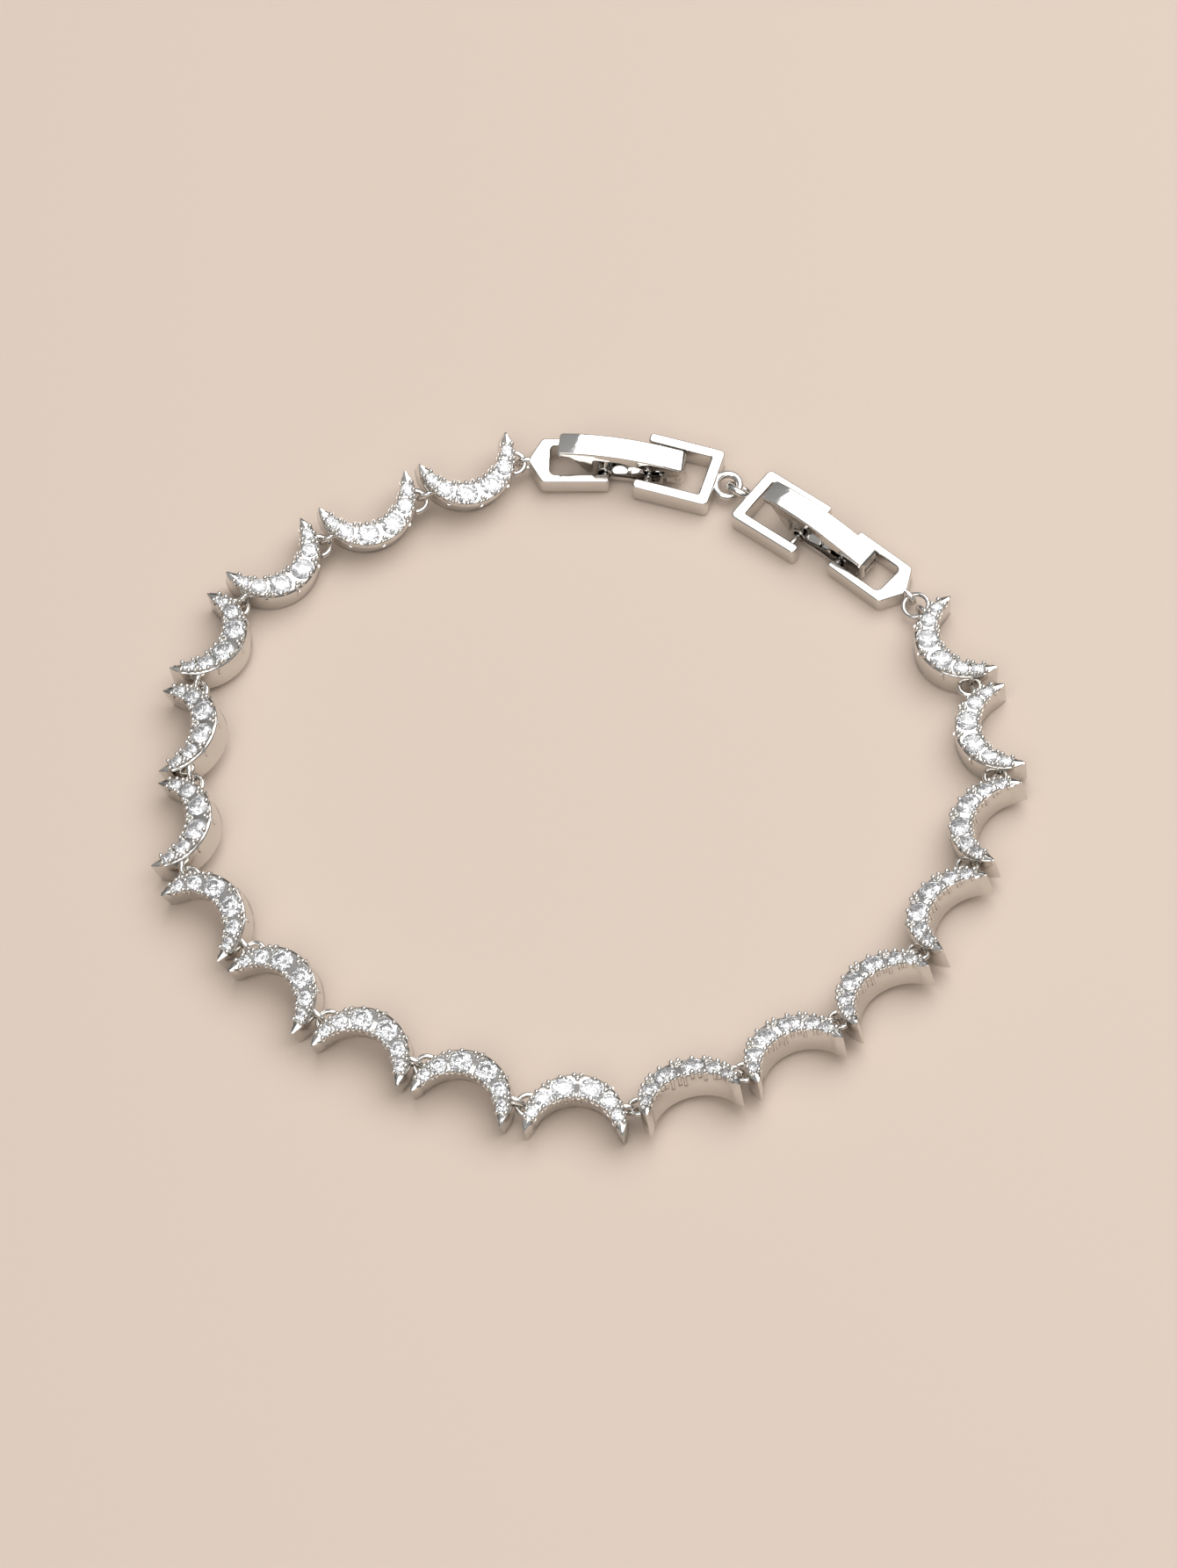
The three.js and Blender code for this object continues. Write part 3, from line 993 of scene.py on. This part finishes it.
@dataclass
class Chain:
    """How the links lie: each link's turn from the one before and its lean, in degrees."""

    links: tuple[tuple[float, float], ...] = (
        (0, 24), (0.8, 22), (14, 9), (29, -7), (21, -19), (-2, -18), (40, -19), (5, -17), (19, -16),
        (4, -14), (20, -10), (24, 20), (11, 13), (12, 17), (20, 16), (10, 13), (29, 2), (17, -2))
    first_heading: float = 200.2
    eye_height: float = 1.0
    ring_heading: float = -68.0
    ring_radius: float = 0.93
    hook: float = 0.27
    crescent: Crescent = field(default_factory=Crescent)
    origin: Vector = field(default_factory=lambda: Vector((0, 0, 0)))

    def rest_height(self, lean: float) -> float:
        """Finds how high a link's joint line lies when the link rests on the surface.

        Args:
            lean: the link's lean, in degrees.

        Returns:
            The height.
        """
        tilt, link = math.radians(lean), self.crescent
        sides = (-link.joint_depth, link.outer_centre + link.outer_radius - link.joint_depth)
        return link.joint_height * math.cos(tilt) - min(-y * math.sin(tilt) for y in sides)

    def joints(self) -> list[Vector]:
        """Lays out the joints between links.

        Returns:
            The joints from the first clasp to the jump ring, in millimetres.
        """
        heights = [self.rest_height(lean) for _, lean in self.links]
        heights = [self.eye_height, *heights, self.eye_height]
        spots = [self.origin + Z * ((heights[0] + heights[1]) / 2)]
        heading = self.first_heading
        for index, (turn, _) in enumerate(self.links):
            heading += turn
            spots.append(spots[-1] + towards(heading) * self.crescent.pitch)
            spots[-1].z = (heights[index + 1] + heights[index + 2]) / 2
        return spots

    def anchor(self) -> None:
        """Shifts the chain so that its jump ring lies where the part has it."""
        low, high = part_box("jump_ring")
        shift = (low + high) / 2 / MM - self.ring_middle()
        self.origin = self.origin + Vector((shift.x, shift.y, 0.0))

    def ring_start(self) -> Vector:
        """Finds the joint between the last clasp and the jump ring.

        Returns:
            The joint, in millimetres.
        """
        span = towards(self.ring_heading) * 2 * (self.ring_radius - self.hook)
        start = self.joints()[-1] - span
        start.z = self.eye_height
        return start

    def ring_middle(self) -> Vector:
        """The middle of the jump ring."""
        return (self.ring_start() + self.joints()[-1]) / 2

    def place(self, index: int) -> Matrix:
        """Where a link lies.

        Args:
            index: the link's number, from 0.

        Returns:
            The link's frame in the part's frame, in millimetres.
        """
        spots = self.joints()
        start, step = spots[index], spots[index + 1] - spots[index]
        turned = lay(step, self.links[index][1])
        return Matrix.Translation((start.x, start.y, -self.crescent.lowest(turned))) @ turned


def lay(step: Vector, lean: float) -> Matrix:
    """Turns a piece along a step.

    Args:
        step: from the piece's first joint to its next.
        lean: how far the piece leans about the step, in degrees.

    Returns:
        The rotation.
    """
    heading = math.atan2(step.y, step.x)
    climb = math.atan2(step.z, math.hypot(step.x, step.y))
    turned = Matrix.Rotation(heading, 4, "Z") @ Matrix.Rotation(-climb, 4, "Y")
    return turned @ Matrix.Rotation(-math.radians(lean), 4, "X")


# ------------------------------------------------------------------------------------------- clasps


class FrameKind(Enum):
    """The two shapes of clasp frame."""

    HOUSE = "house_frame"
    SQUARE = "square_frame"


@dataclass(frozen=True)
class Held:
    """One frame as a clasp holds it.

    kind is its shape, skew its swing in degrees, aside its slide along the crossbar and ring_roll its
    ring's roll from flat.
    """

    kind: FrameKind
    skew: float
    aside: float
    ring_roll: float


@dataclass(frozen=True)
class FrameRing:
    """A frame's ring.

    Its middle lies out from the frame's outer end at a height; reach holds its half axes along and
    across the frame, and span the angles between which its wire runs.
    """

    out: float
    height: float
    reach: tuple[float, float]
    wire: float
    span: tuple[float, float]
    steps: int


@dataclass
class ClaspFrame:
    """A U frame around a crossbar, which lies on y at its frame's origin, with the outer end on +x.

    outer_end lists the corners there: how far back each lies, its share of the half width and its
    rounding. meets is how far out the ring meets its neighbour.
    """

    kind: FrameKind
    reach: float
    width: float
    height: float
    arm: float
    end: float
    overhang: float
    soft: float
    meets: float
    outer_end: tuple[tuple[float, float, float], ...]
    window_round: float
    tail_round: float
    ring: FrameRing
    crossbar: float = 0.25
    crossbar_height: float = 0.95

    @property
    def joint(self) -> float:
        """Distance from the crossbar to the joint with the neighbour."""
        return self.reach + self.meets

    def outline(self) -> list[Vector]:
        """Draws the frame's rounded outline.

        Returns:
            The outline's points, anticlockwise.
        """
        half, tail, tail_round = self.width / 2, -self.overhang, self.tail_round
        window, side = self.reach - self.end, self.width / 2 - self.arm
        return fillet([
            (tail, -half, tail_round),
            *((self.reach - back, share * half, rounding) for back, share, rounding in self.outer_end),
            (tail, half, tail_round), (tail, side, tail_round), (window, side, self.window_round),
            (window, -side, self.window_round), (tail, -side, tail_round),
        ])

    def build(self, ring_roll: float) -> bpy.types.Mesh:
        """Builds the frame with its crossbar and ring.

        Args:
            ring_roll: how far the ring is rolled from flat, in degrees.

        Returns:
            The frame's mesh.
        """
        build = Build()
        build.pillow(self.outline(), 0.0, self.height, self.soft)
        build.rod(Z * self.crossbar_height, self.crossbar, self.width - self.arm, sides=20)
        across = Matrix.Rotation(math.radians(ring_roll), 3, "X") @ Y
        middle = Vector((self.reach + self.ring.out, 0, self.ring.height))
        build.arc_wire(
            middle, X, across, self.ring.reach, self.ring.wire, *self.ring.span, steps=self.ring.steps)
        return build.data(self.kind.value)


HOUSE = ClaspFrame(
    FrameKind.HOUSE, reach=5.8, width=3.88, height=1.42, arm=0.66, end=1.7, overhang=0.3, soft=0.12,
    meets=0.51, outer_end=((1.08, -1, 0.5), (0.0, 0, 0.75), (1.08, 1, 0.5)), window_round=0.42,
    tail_round=0.24, ring=FrameRing(0.0, 0.9, (0.76, 0.55), 0.2, (-100.0, 100.0), 28))
SQUARE = ClaspFrame(
    FrameKind.SQUARE, reach=5.0, width=5.02, height=1.65, arm=0.8, end=0.88, overhang=0.84, soft=0.13,
    meets=1.4175, outer_end=((0.0, -1, 0.42), (0.0, 1, 0.42)), window_round=0.12, tail_round=0.28,
    ring=FrameRing(0.87, 1.0, (0.91, 0.91), 0.29, (0.0, 360.0), 40))
SHAPES = {FrameKind.HOUSE: HOUSE, FrameKind.SQUARE: SQUARE}


class LeafShape(Enum):
    """The outlines of a base's leaves."""

    OVAL = "oval"
    SQUARE = "square"


@dataclass(frozen=True)
class Leaf:
    """A polished leaf on a base's walls: its shape, its place along the base and its half sizes."""

    shape: LeafShape
    x: float
    half: tuple[float, float]
    rounding: float = 0.1

    def outline(self) -> list[Vector]:
        """Draws the leaf's outline.

        Returns:
            The outline's points, anticlockwise.
        """
        u, v = self.half
        if self.shape is LeafShape.OVAL:
            return [Vector((u * math.cos(a), v * math.sin(a))) for a in circle(32)]
        return fillet([(x, y, self.rounding) for x, y in ((-u, -v), (u, -v), (u, v), (-u, v))])


@dataclass
class Strap:
    """A clasp's base and lever. Their frame has x along the clasp from its first crossbar and z up.

    spacing lies between the crossbars. crest holds the place and height of the top of the lever's arch,
    and how fast it falls towards the lip and towards the hinge. catch holds the catch's half length and
    half width, and plan_rounds the rounding of the lever's corners at the lip and at the hinge.
    """

    width: float = 1.88
    wall: float = 0.3
    spacing: float = 3.6
    bar_height: float = 0.95
    base_low: float = 0.29
    base_top: float = 1.62
    base_waist: float = 0.8
    floor: float = 0.25
    post: float = 0.3
    notch: float = 0.57
    notch_floor: float = 0.62
    barrel: float = 0.64
    barrel_bore: float = 0.44
    hinge_x: float = 5.55
    hinge_height: float = 1.15
    knuckle: float = 0.5
    knuckle_width: float = 0.95
    pin: float = 0.2
    pin_bore: float = 0.215
    lip: float = -3.5
    lip_drop: float = 0.09
    crest: tuple[float, float, float, float] = (-0.5, 3.34, 0.023, 0.0255)
    end: float = 6.05
    thick: float = 0.5
    ear_foot: float = 0.6
    catch: tuple[float, float] = (0.35, 0.4)
    plan_rounds: tuple[float, float] = (0.42, 0.5)
    leaves: tuple[Leaf, ...] = (
        Leaf(LeafShape.OVAL, 1.2, (0.6, 0.42)), Leaf(LeafShape.SQUARE, 2.45, (0.45, 0.42)))
    leaf_slope: float = 33.0
    leaf_inset: float = 0.38
    leaf_height: float = 1.0
    leaf_thick: float = 0.3

    def side(self, middle: float) -> Callable[[Vector, float], Vector]:
        """Turns a side view's point and a sideways distance into a point, about a middle line."""
        return lambda p, h: Vector((p.x, middle - h, p.y))

    def top(self, x: float) -> float:
        """Height of the lever's arched top."""
        middle, height, lip_fall, hinge_fall = self.crest
        return height - (lip_fall if x < middle else hinge_fall) * (x - middle) ** 2

    def base(self) -> bpy.types.Mesh:
        """Builds the base: a channel with a barrel, a notch, a neck and a hinge knuckle.

        Returns:
            The base's mesh.
        """
        build = Build()
        wall_middle = (self.width - self.wall) / 2
        for middle in (-wall_middle, wall_middle):
            build.pillow(
                self.wall_outline(), -self.wall / 2, self.wall / 2, 0.05, self.side(middle), steps=3)
        half = self.width / 2 - 0.05
        build.pillow(self.floor_outline(), -half, half, 0.04, self.side(0.0), steps=3)
        half = self.knuckle_width / 2
        build.pillow(self.neck_outline(), -half, half, 0.06, self.side(0.0), steps=3)
        hinge = Vector((self.hinge_x, 0, self.hinge_height))
        build.rod(hinge, self.knuckle, self.knuckle_width, 0.06)
        build.rod(hinge, self.pin, self.width - 0.02, 0.04)
        self.add_leaves(build)
        barrel, bore = Build(), Build()
        barrel.rod(Z * self.bar_height, self.barrel, self.width, 0.06)
        bore.rod(Z * self.bar_height, self.barrel_bore, self.width + 1)
        build.take(cut(barrel.data("barrel"), bore.data("bore")))
        return build.data("base")

    def wall_outline(self) -> list[Vector]:
        """Draws the side view of the base's walls: a waist, and two posts beside the open notch.

        Returns:
            The outline's points, anticlockwise.
        """
        left, right = self.spacing - self.notch, self.spacing + self.notch
        low, top, waist, notch = self.base_low, self.base_top, self.base_waist, self.notch_floor
        return fillet([
            (0.0, low, 0.05), (right + self.post, low, 0.12), (right + self.post, top, 0.14),
            (right, top, 0.08), (right, notch, 0.25), (left, notch, 0.25), (left, top, 0.1),
            (left - self.post, top, 0.14), (left - self.post - 0.32, waist, 0.3), (0.4, waist, 0.2),
            (0.0, 1.2, 0.1),
        ])

    def floor_outline(self) -> list[Vector]:
        """Draws the side view of the channel's floor.

        Returns:
            The outline's points, anticlockwise.
        """
        start, finish = 0.1, self.spacing + self.notch + 0.25
        low, high = self.base_low + 0.01, self.base_low + self.floor
        return fillet([
            (start, low, 0.06), (finish, low, 0.06), (finish, high, 0.06), (start, high, 0.06)])

    def neck_outline(self) -> list[Vector]:
        """Draws the side view of the neck that joins the channel to the hinge's knuckle.

        Returns:
            The outline's points, anticlockwise.
        """
        start, low = self.spacing + self.notch, self.base_low
        return fillet([
            (start, low, 0.05), (self.hinge_x - 0.5, low, 0.2), (self.hinge_x, 0.65, 0.1),
            (self.hinge_x, self.hinge_height + 0.5, 0.1), (start, 1.0, 0.1)])

    def add_leaves(self, build: Build) -> None:
        """Adds the polished leaves, which lean on the channel's walls.

        Args:
            build: the mesh to add to.
        """
        slope = math.radians(self.leaf_slope)
        up = Vector((0, math.cos(slope), math.sin(slope)))
        out = Vector((0, -math.sin(slope), math.cos(slope)))
        for leaf in self.leaves:
            for side in (-1, 1):
                middle = Vector((leaf.x, side * (self.width / 2 - self.leaf_inset), self.leaf_height))
                mirror = Matrix.Diagonal((1, -side, 1))
                build.pillow(
                    leaf.outline(), -self.leaf_thick, 0.0, 0.05,
                    lambda p, h, m=middle, t=mirror: m + X * p.x + (up * p.y + out * h) @ t,
                    steps=3)

    def lever_outline(self) -> list[Vector]:
        """Draws the side view of the whole lever: arch, lip, cheek, skirt and ears.

        Returns:
            The outline's points, anticlockwise.
        """
        arch = [(x, self.top(x), 0.0) for x in (4.9, 4.2, 3.5, 2.8, 2.1, 1.4, 0.7, 0.0, -0.7, -1.2)]
        ear = self.hinge_x - 0.9
        return fillet([
            (self.lip + 0.12, self.top(self.lip) - 0.55, 0.1), (-2.55, self.top(-2.7) - 0.62, 0.3),
            (-1.15, 0.75, 0.06), (-0.85, 0.75, 0.06), (-0.72, 2.5, 0.2), (1.2, 2.5, 1.5),
            (2.8, 1.95, 1.5), (ear, 1.95, 0.12), (ear, self.ear_foot, 0.12),
            (self.end, self.ear_foot, 0.14), (self.end, self.top(self.end) + 0.05, 0.5),
            (5.2, self.top(5.2), 0.0), *arch, (-2.1, self.top(-2.1), 5.0),
            (self.lip, self.top(self.lip) - self.lip_drop, 0.12),
        ])

    def hollow_outline(self) -> list[Vector]:
        """Draws the side view of the room under the lever's arch and between its ears.

        Returns:
            The outline's points, anticlockwise.
        """
        foot, past, tail = -1.0, self.end + 1, -2.6
        under = [(x, self.top(x) - self.thick, 0.0) for x in (4.6, 3.4, 2.2, 1.0, -0.6, -2.0)]
        return fillet([
            (tail, foot, 0), (past, foot, 0), (past, 1.75, 0), (5.35, 1.75, 0.2), *under,
            (tail, self.top(tail) - self.thick - 0.2, 0.1)])

    def catch_outline(self) -> list[Vector]:
        """Draws the side view of the catch, which hangs from the arch over the second crossbar.

        Returns:
            The outline's points, anticlockwise.
        """
        half, foot, high = self.catch[0], 1.3, self.top(self.spacing) - 0.35
        left, right = self.spacing - half, self.spacing + half
        return fillet([(left, foot, 0.15), (right, foot, 0.15), (right, high, 0), (left, high, 0)])

    def lever(self) -> bpy.types.Mesh:
        """Builds the lever: an arched channel with a lip, hollow underneath.

        Returns:
            The lever's mesh.
        """
        half, (lip_round, hinge_round) = self.width / 2, self.plan_rounds
        build, plan, hollow, lever, bore = (Build() for _ in range(5))
        build.pillow(self.lever_outline(), -half, half, 0.14, self.side(0.0), steps=5)
        outline = fillet([
            (self.lip, -half, lip_round), (self.end, -half, hinge_round),
            (self.end, half, hinge_round), (self.lip, half, lip_round)])
        plan.pillow(outline, 0.0, 4.0, 0.02)
        room = half - self.wall
        hollow.pillow(self.hollow_outline(), -room, room, 0.1, self.side(0.0), steps=3)
        wide = self.catch[1]
        lever.pillow(self.catch_outline(), -wide, wide, 0.05, self.side(0.0), steps=3)
        rounded = cut(build.data("lever"), plan.data("plan"), Keep.INSIDE)
        lever.take(cut(rounded, hollow.data("hollow")))
        hinge = Vector((self.hinge_x, 0, self.hinge_height))
        bore.rod(hinge, self.pin_bore, self.width + 1)
        return cut(lever.data("lever"), bore.data("bore"))


@dataclass
class Clasp:
    """One fold-over clasp: two frames, a base and a lever."""

    number: int
    first: Held
    last: Held
    slide: float
    strap: Strap = field(default_factory=Strap)
    eye_height: float = 1.0

    def end(self, held: Held, bar: float, facing: float) -> Vector:
        """Finds where a frame's ring meets its neighbour.

        Args:
            held: the frame.
            bar: its crossbar's place along the clasp.
            facing: the way it points, 0 or 180 degrees.

        Returns:
            The joint in the clasp's frame.
        """
        turn = math.radians(facing + held.skew)
        reach = SHAPES[held.kind].joint
        return Vector(
            (bar + reach * math.cos(turn), held.aside + reach * math.sin(turn), self.eye_height))

    @property
    def bar(self) -> float:
        """Place of the second crossbar."""
        return self.strap.spacing + self.slide

    @property
    def chord(self) -> Vector:
        """From the clasp's first joint to its last, in its own frame."""
        return self.end(self.last, self.bar, 0) - self.end(self.first, 0, 180)

    def place(self, start: Vector, finish: Vector) -> Matrix:
        """Where the clasp lies.

        Args:
            start: its first joint.
            finish: its last joint.

        Returns:
            The clasp's frame in the part's frame, in millimetres.
        """
        chord = self.chord
        own = Matrix.Translation(-self.end(self.first, 0, 180))
        own = Matrix.Rotation(-math.atan2(chord.y, chord.x), 4, "Z") @ own
        place = Matrix.Translation(start) @ lay(finish - start, 0.0) @ own
        hinge = next(j for j in frame["joints"] if j["child"] == f"lever_{self.number}")
        known = Vector(hinge["pos_m"]) / MM
        found = place @ Vector((self.strap.hinge_x, 0, self.strap.hinge_height))
        log.info("clasp %d lies %.3f mm from its hinge", self.number, (known - found).xy.length)
        return Matrix.Translation(known - found) @ place

    def make(self, place: Matrix, plate: bpy.types.Material, worn: bpy.types.Material) -> None:
        """Builds and lays the clasp's four pieces.

        Args:
            place: the clasp's frame in the part's frame.
            plate: the metal finish.
            worn: the lever's finish.
        """
        for held, bar, facing in ((self.first, 0.0, 180.0), (self.last, self.bar, 0.0)):
            turned = Matrix.Rotation(math.radians(facing + held.skew), 4, "Z")
            own = Matrix.Translation((bar, held.aside, 0)) @ turned
            name = f"{held.kind.value}_{self.number}"
            mesh = SHAPES[held.kind].build(held.ring_roll)
            show(f"{name}_metal", mesh, place @ own, plate, BRACELET, name)
        base, lever = f"base_{self.number}", f"lever_{self.number}"
        show(f"{base}_metal", self.strap.base(), place, plate, BRACELET, base)
        show(f"{lever}_metal", self.strap.lever(), place, worn, lever, lever)


@dataclass
class JumpRing:
    """The loose ring between the last clasp and the last crescent."""

    radius: float = 0.93
    wire: float = 0.18
    roll: float = 12.0
    opening: float = 3.0
    cut_at: float = 75.0

    def make(self, middle: Vector, heading: float, plate: bpy.types.Material) -> None:
        """Builds and lays the ring with its closed cut.

        Args:
            middle: the ring's middle, in millimetres.
            heading: its direction, in degrees.
            plate: the metal finish.
        """
        build = Build()
        across = Matrix.Rotation(math.radians(self.roll), 3, "X") @ Y
        start, finish = self.cut_at + self.opening / 2, self.cut_at + 360 - self.opening / 2
        build.arc_wire(Vector((0, 0, 0)), X, across, (self.radius, self.radius), self.wire,
                       start, finish, steps=44)
        place = Matrix.Translation(middle) @ Matrix.Rotation(math.radians(heading), 4, "Z")
        show("jump_ring_metal", build.data("ring"), place, plate, BRACELET, "jump_ring")


# ------------------------------------------------------------------------------------------- studio


@dataclass(frozen=True)
class Panel:
    """A soft light aimed at the bracelet: its place and two sizes in metres, and its power in watts."""

    name: str
    spot: tuple[float, float, float]
    size: tuple[float, float]
    power: float
    round: bool = False


@dataclass
class Studio:
    """Pale floor, soft lights and the camera."""

    lens: float = 193.7
    sensor: float = 36.0
    clip: tuple[float, float] = (0.01, 20.0)
    elevation: float = 58.83
    roll: float = 4.86
    distance: float = 0.6164
    target: tuple[float, float, float] = (0.000162, 0.000440, 0.0)
    floor_size: float = 4.0
    floor_drop: float = 0.00001
    surround: tuple[float, float] = (0.07, 0.44)
    surround_top: float = 0.9
    panels: tuple[Panel, ...] = (
        Panel("key", (0.206, 0.191, 0.53), (0.78, 0.78), 3.7, round=True),
        Panel("front", (-0.12, -0.36, 0.52), (0.56, 0.46), 1.5),
    )
    floor: PaleFloor = field(default_factory=PaleFloor)

    def make(self) -> None:
        """Builds the whole studio."""
        self.make_floor()
        for panel in self.panels:
            self.make_panel(panel)
        self.make_surround()
        self.make_camera()

    def make_floor(self) -> None:
        """Lays the floor under the bracelet."""
        half = self.floor_size / 2
        corners = [(-half, -half, 0), (half, -half, 0), (half, half, 0), (-half, half, 0)]
        mesh = bpy.data.meshes.new("floor")
        mesh.from_pydata(corners, [], [(0, 1, 2, 3)])
        mesh.materials.append(self.floor.material())
        obj = bpy.data.objects.new("floor", mesh)
        obj.location.z = -self.floor_drop
        bpy.context.scene.collection.objects.link(obj)

    def make_panel(self, panel: Panel) -> None:
        """Hangs one soft light.

        Args:
            panel: the light to hang.
        """
        data = bpy.data.lights.new(panel.name, "AREA")
        data.shape = "ELLIPSE" if panel.round else "RECTANGLE"
        data.size, data.size_y = panel.size
        data.energy = panel.power
        obj = bpy.data.objects.new(panel.name, data)
        obj.location = panel.spot
        obj.rotation_mode = "QUATERNION"
        obj.rotation_quaternion = (-Vector(panel.spot)).to_track_quat("-Z", "Y")
        obj.visible_camera = False
        bpy.context.scene.collection.objects.link(obj)

    def make_surround(self) -> None:
        """Fills the room with light that rises from a dim grey below to a brighter one overhead."""
        world = bpy.data.worlds.new("room")
        world.use_nodes = True
        tree = world.node_tree
        place = tree.nodes.new("ShaderNodeTexCoord")
        split = tree.nodes.new("ShaderNodeSeparateXYZ")
        ramp = tree.nodes.new("ShaderNodeValToRGB")
        ramp.color_ramp.interpolation = "EASE"
        for spot, grey in zip(ramp.color_ramp.elements, self.surround):
            spot.color = (grey, grey, grey, 1.0)
        ramp.color_ramp.elements[1].position = self.surround_top
        tree.links.new(place.outputs["Generated"], split.inputs["Vector"])
        tree.links.new(split.outputs["Z"], ramp.inputs["Fac"])
        tree.links.new(ramp.outputs["Color"], tree.nodes["Background"].inputs["Color"])
        bpy.context.scene.world = world

    def make_camera(self) -> None:
        """Sets the camera over the bracelet's near side."""
        data = bpy.data.cameras.new("camera")
        data.lens, data.sensor_width = self.lens, self.sensor
        data.clip_start, data.clip_end = self.clip
        tilt, roll = math.radians(self.elevation), math.radians(self.roll)
        back = Vector((0, -math.cos(tilt), math.sin(tilt)))
        up = back.cross(X)
        x = X * math.cos(roll) - up * math.sin(roll)
        y = X * math.sin(roll) + up * math.cos(roll)
        obj = bpy.data.objects.new("camera", data)
        place = Matrix((x, y, back)).transposed().to_4x4()
        place.translation = Vector(self.target) + back * self.distance
        obj.matrix_world = place
        scene = bpy.context.scene
        scene.collection.objects.link(obj)
        scene.camera = obj
        scene.view_settings.view_transform = "Standard"
        scene.view_settings.look = "None"


# ----------------------------------------------------------------------------------------- bracelet


@dataclass
class Bracelet:
    """The whole bracelet, laid closed."""

    chain: Chain = field(default_factory=Chain)
    clasps: tuple[Clasp, ...] = (
        Clasp(
            1, Held(FrameKind.HOUSE, 7.0, 0.0, 90.0), Held(FrameKind.SQUARE, -9.8, 0.1, 10.0), -0.08),
        Clasp(
            2, Held(FrameKind.SQUARE, 1.4, -0.28, 52.0), Held(FrameKind.HOUSE, -2.8, 0.03, 90.0), 0.2),
    )
    ring: JumpRing = field(default_factory=JumpRing)

    def make_links(self, plate: bpy.types.Material, stone: bpy.types.Material) -> None:
        """Builds and lays the crescents.

        Args:
            plate: the metal finish.
            stone: the stones' finish.
        """
        crescent = self.chain.crescent
        pattern = crescent.metal()
        dice = random.Random(STONE_SEED)
        for index in range(len(self.chain.links)):
            name = f"crescent_{index + 1:02d}"
            place = self.chain.place(index)
            show(f"{name}_metal", pattern.copy(), place, plate, BRACELET, name)
            stones = crescent.brilliants(dice)
            show(f"{name}_stones", stones, place, stone, BRACELET, sharp=None)
        bpy.data.meshes.remove(pattern)

    def make_clasps(self, plate: bpy.types.Material) -> None:
        """Builds and lays both clasps, which meet on the outer side of the chain's ends.

        Args:
            plate: the metal finish.
        """
        worn = WORN_PLATE.material()
        start, finish = self.chain.joints()[0], self.chain.ring_start()
        one, two = (clasp.chord.length for clasp in self.clasps)
        line = Vector((finish.x - start.x, finish.y - start.y, 0.0))
        span = line.length
        line.normalize()
        along = (one ** 2 - two ** 2 + span ** 2) / (2 * span)
        outward = Vector((-line.y, line.x, 0))
        middle = start + line * along + outward * math.sqrt(one ** 2 - along ** 2)
        middle.z = self.chain.eye_height
        for clasp, ends in zip(self.clasps, ((start, middle), (middle, finish))):
            clasp.make(clasp.place(*ends), plate, worn)

    def make(self) -> None:
        """Builds every piece in order round the bracelet."""
        plate, stone = BrightPlate().material(), ClearStone().material()
        self.chain.anchor()
        self.make_links(plate, stone)
        self.make_clasps(plate)
        self.ring.make(self.chain.ring_middle(), self.chain.ring_heading, plate)


def main() -> None:
    """Builds the bracelet and its studio."""
    logging.basicConfig(level=logging.INFO, format="%(message)s")
    Bracelet().make()
    Studio().make()


if __name__ == "__main__":
    main()
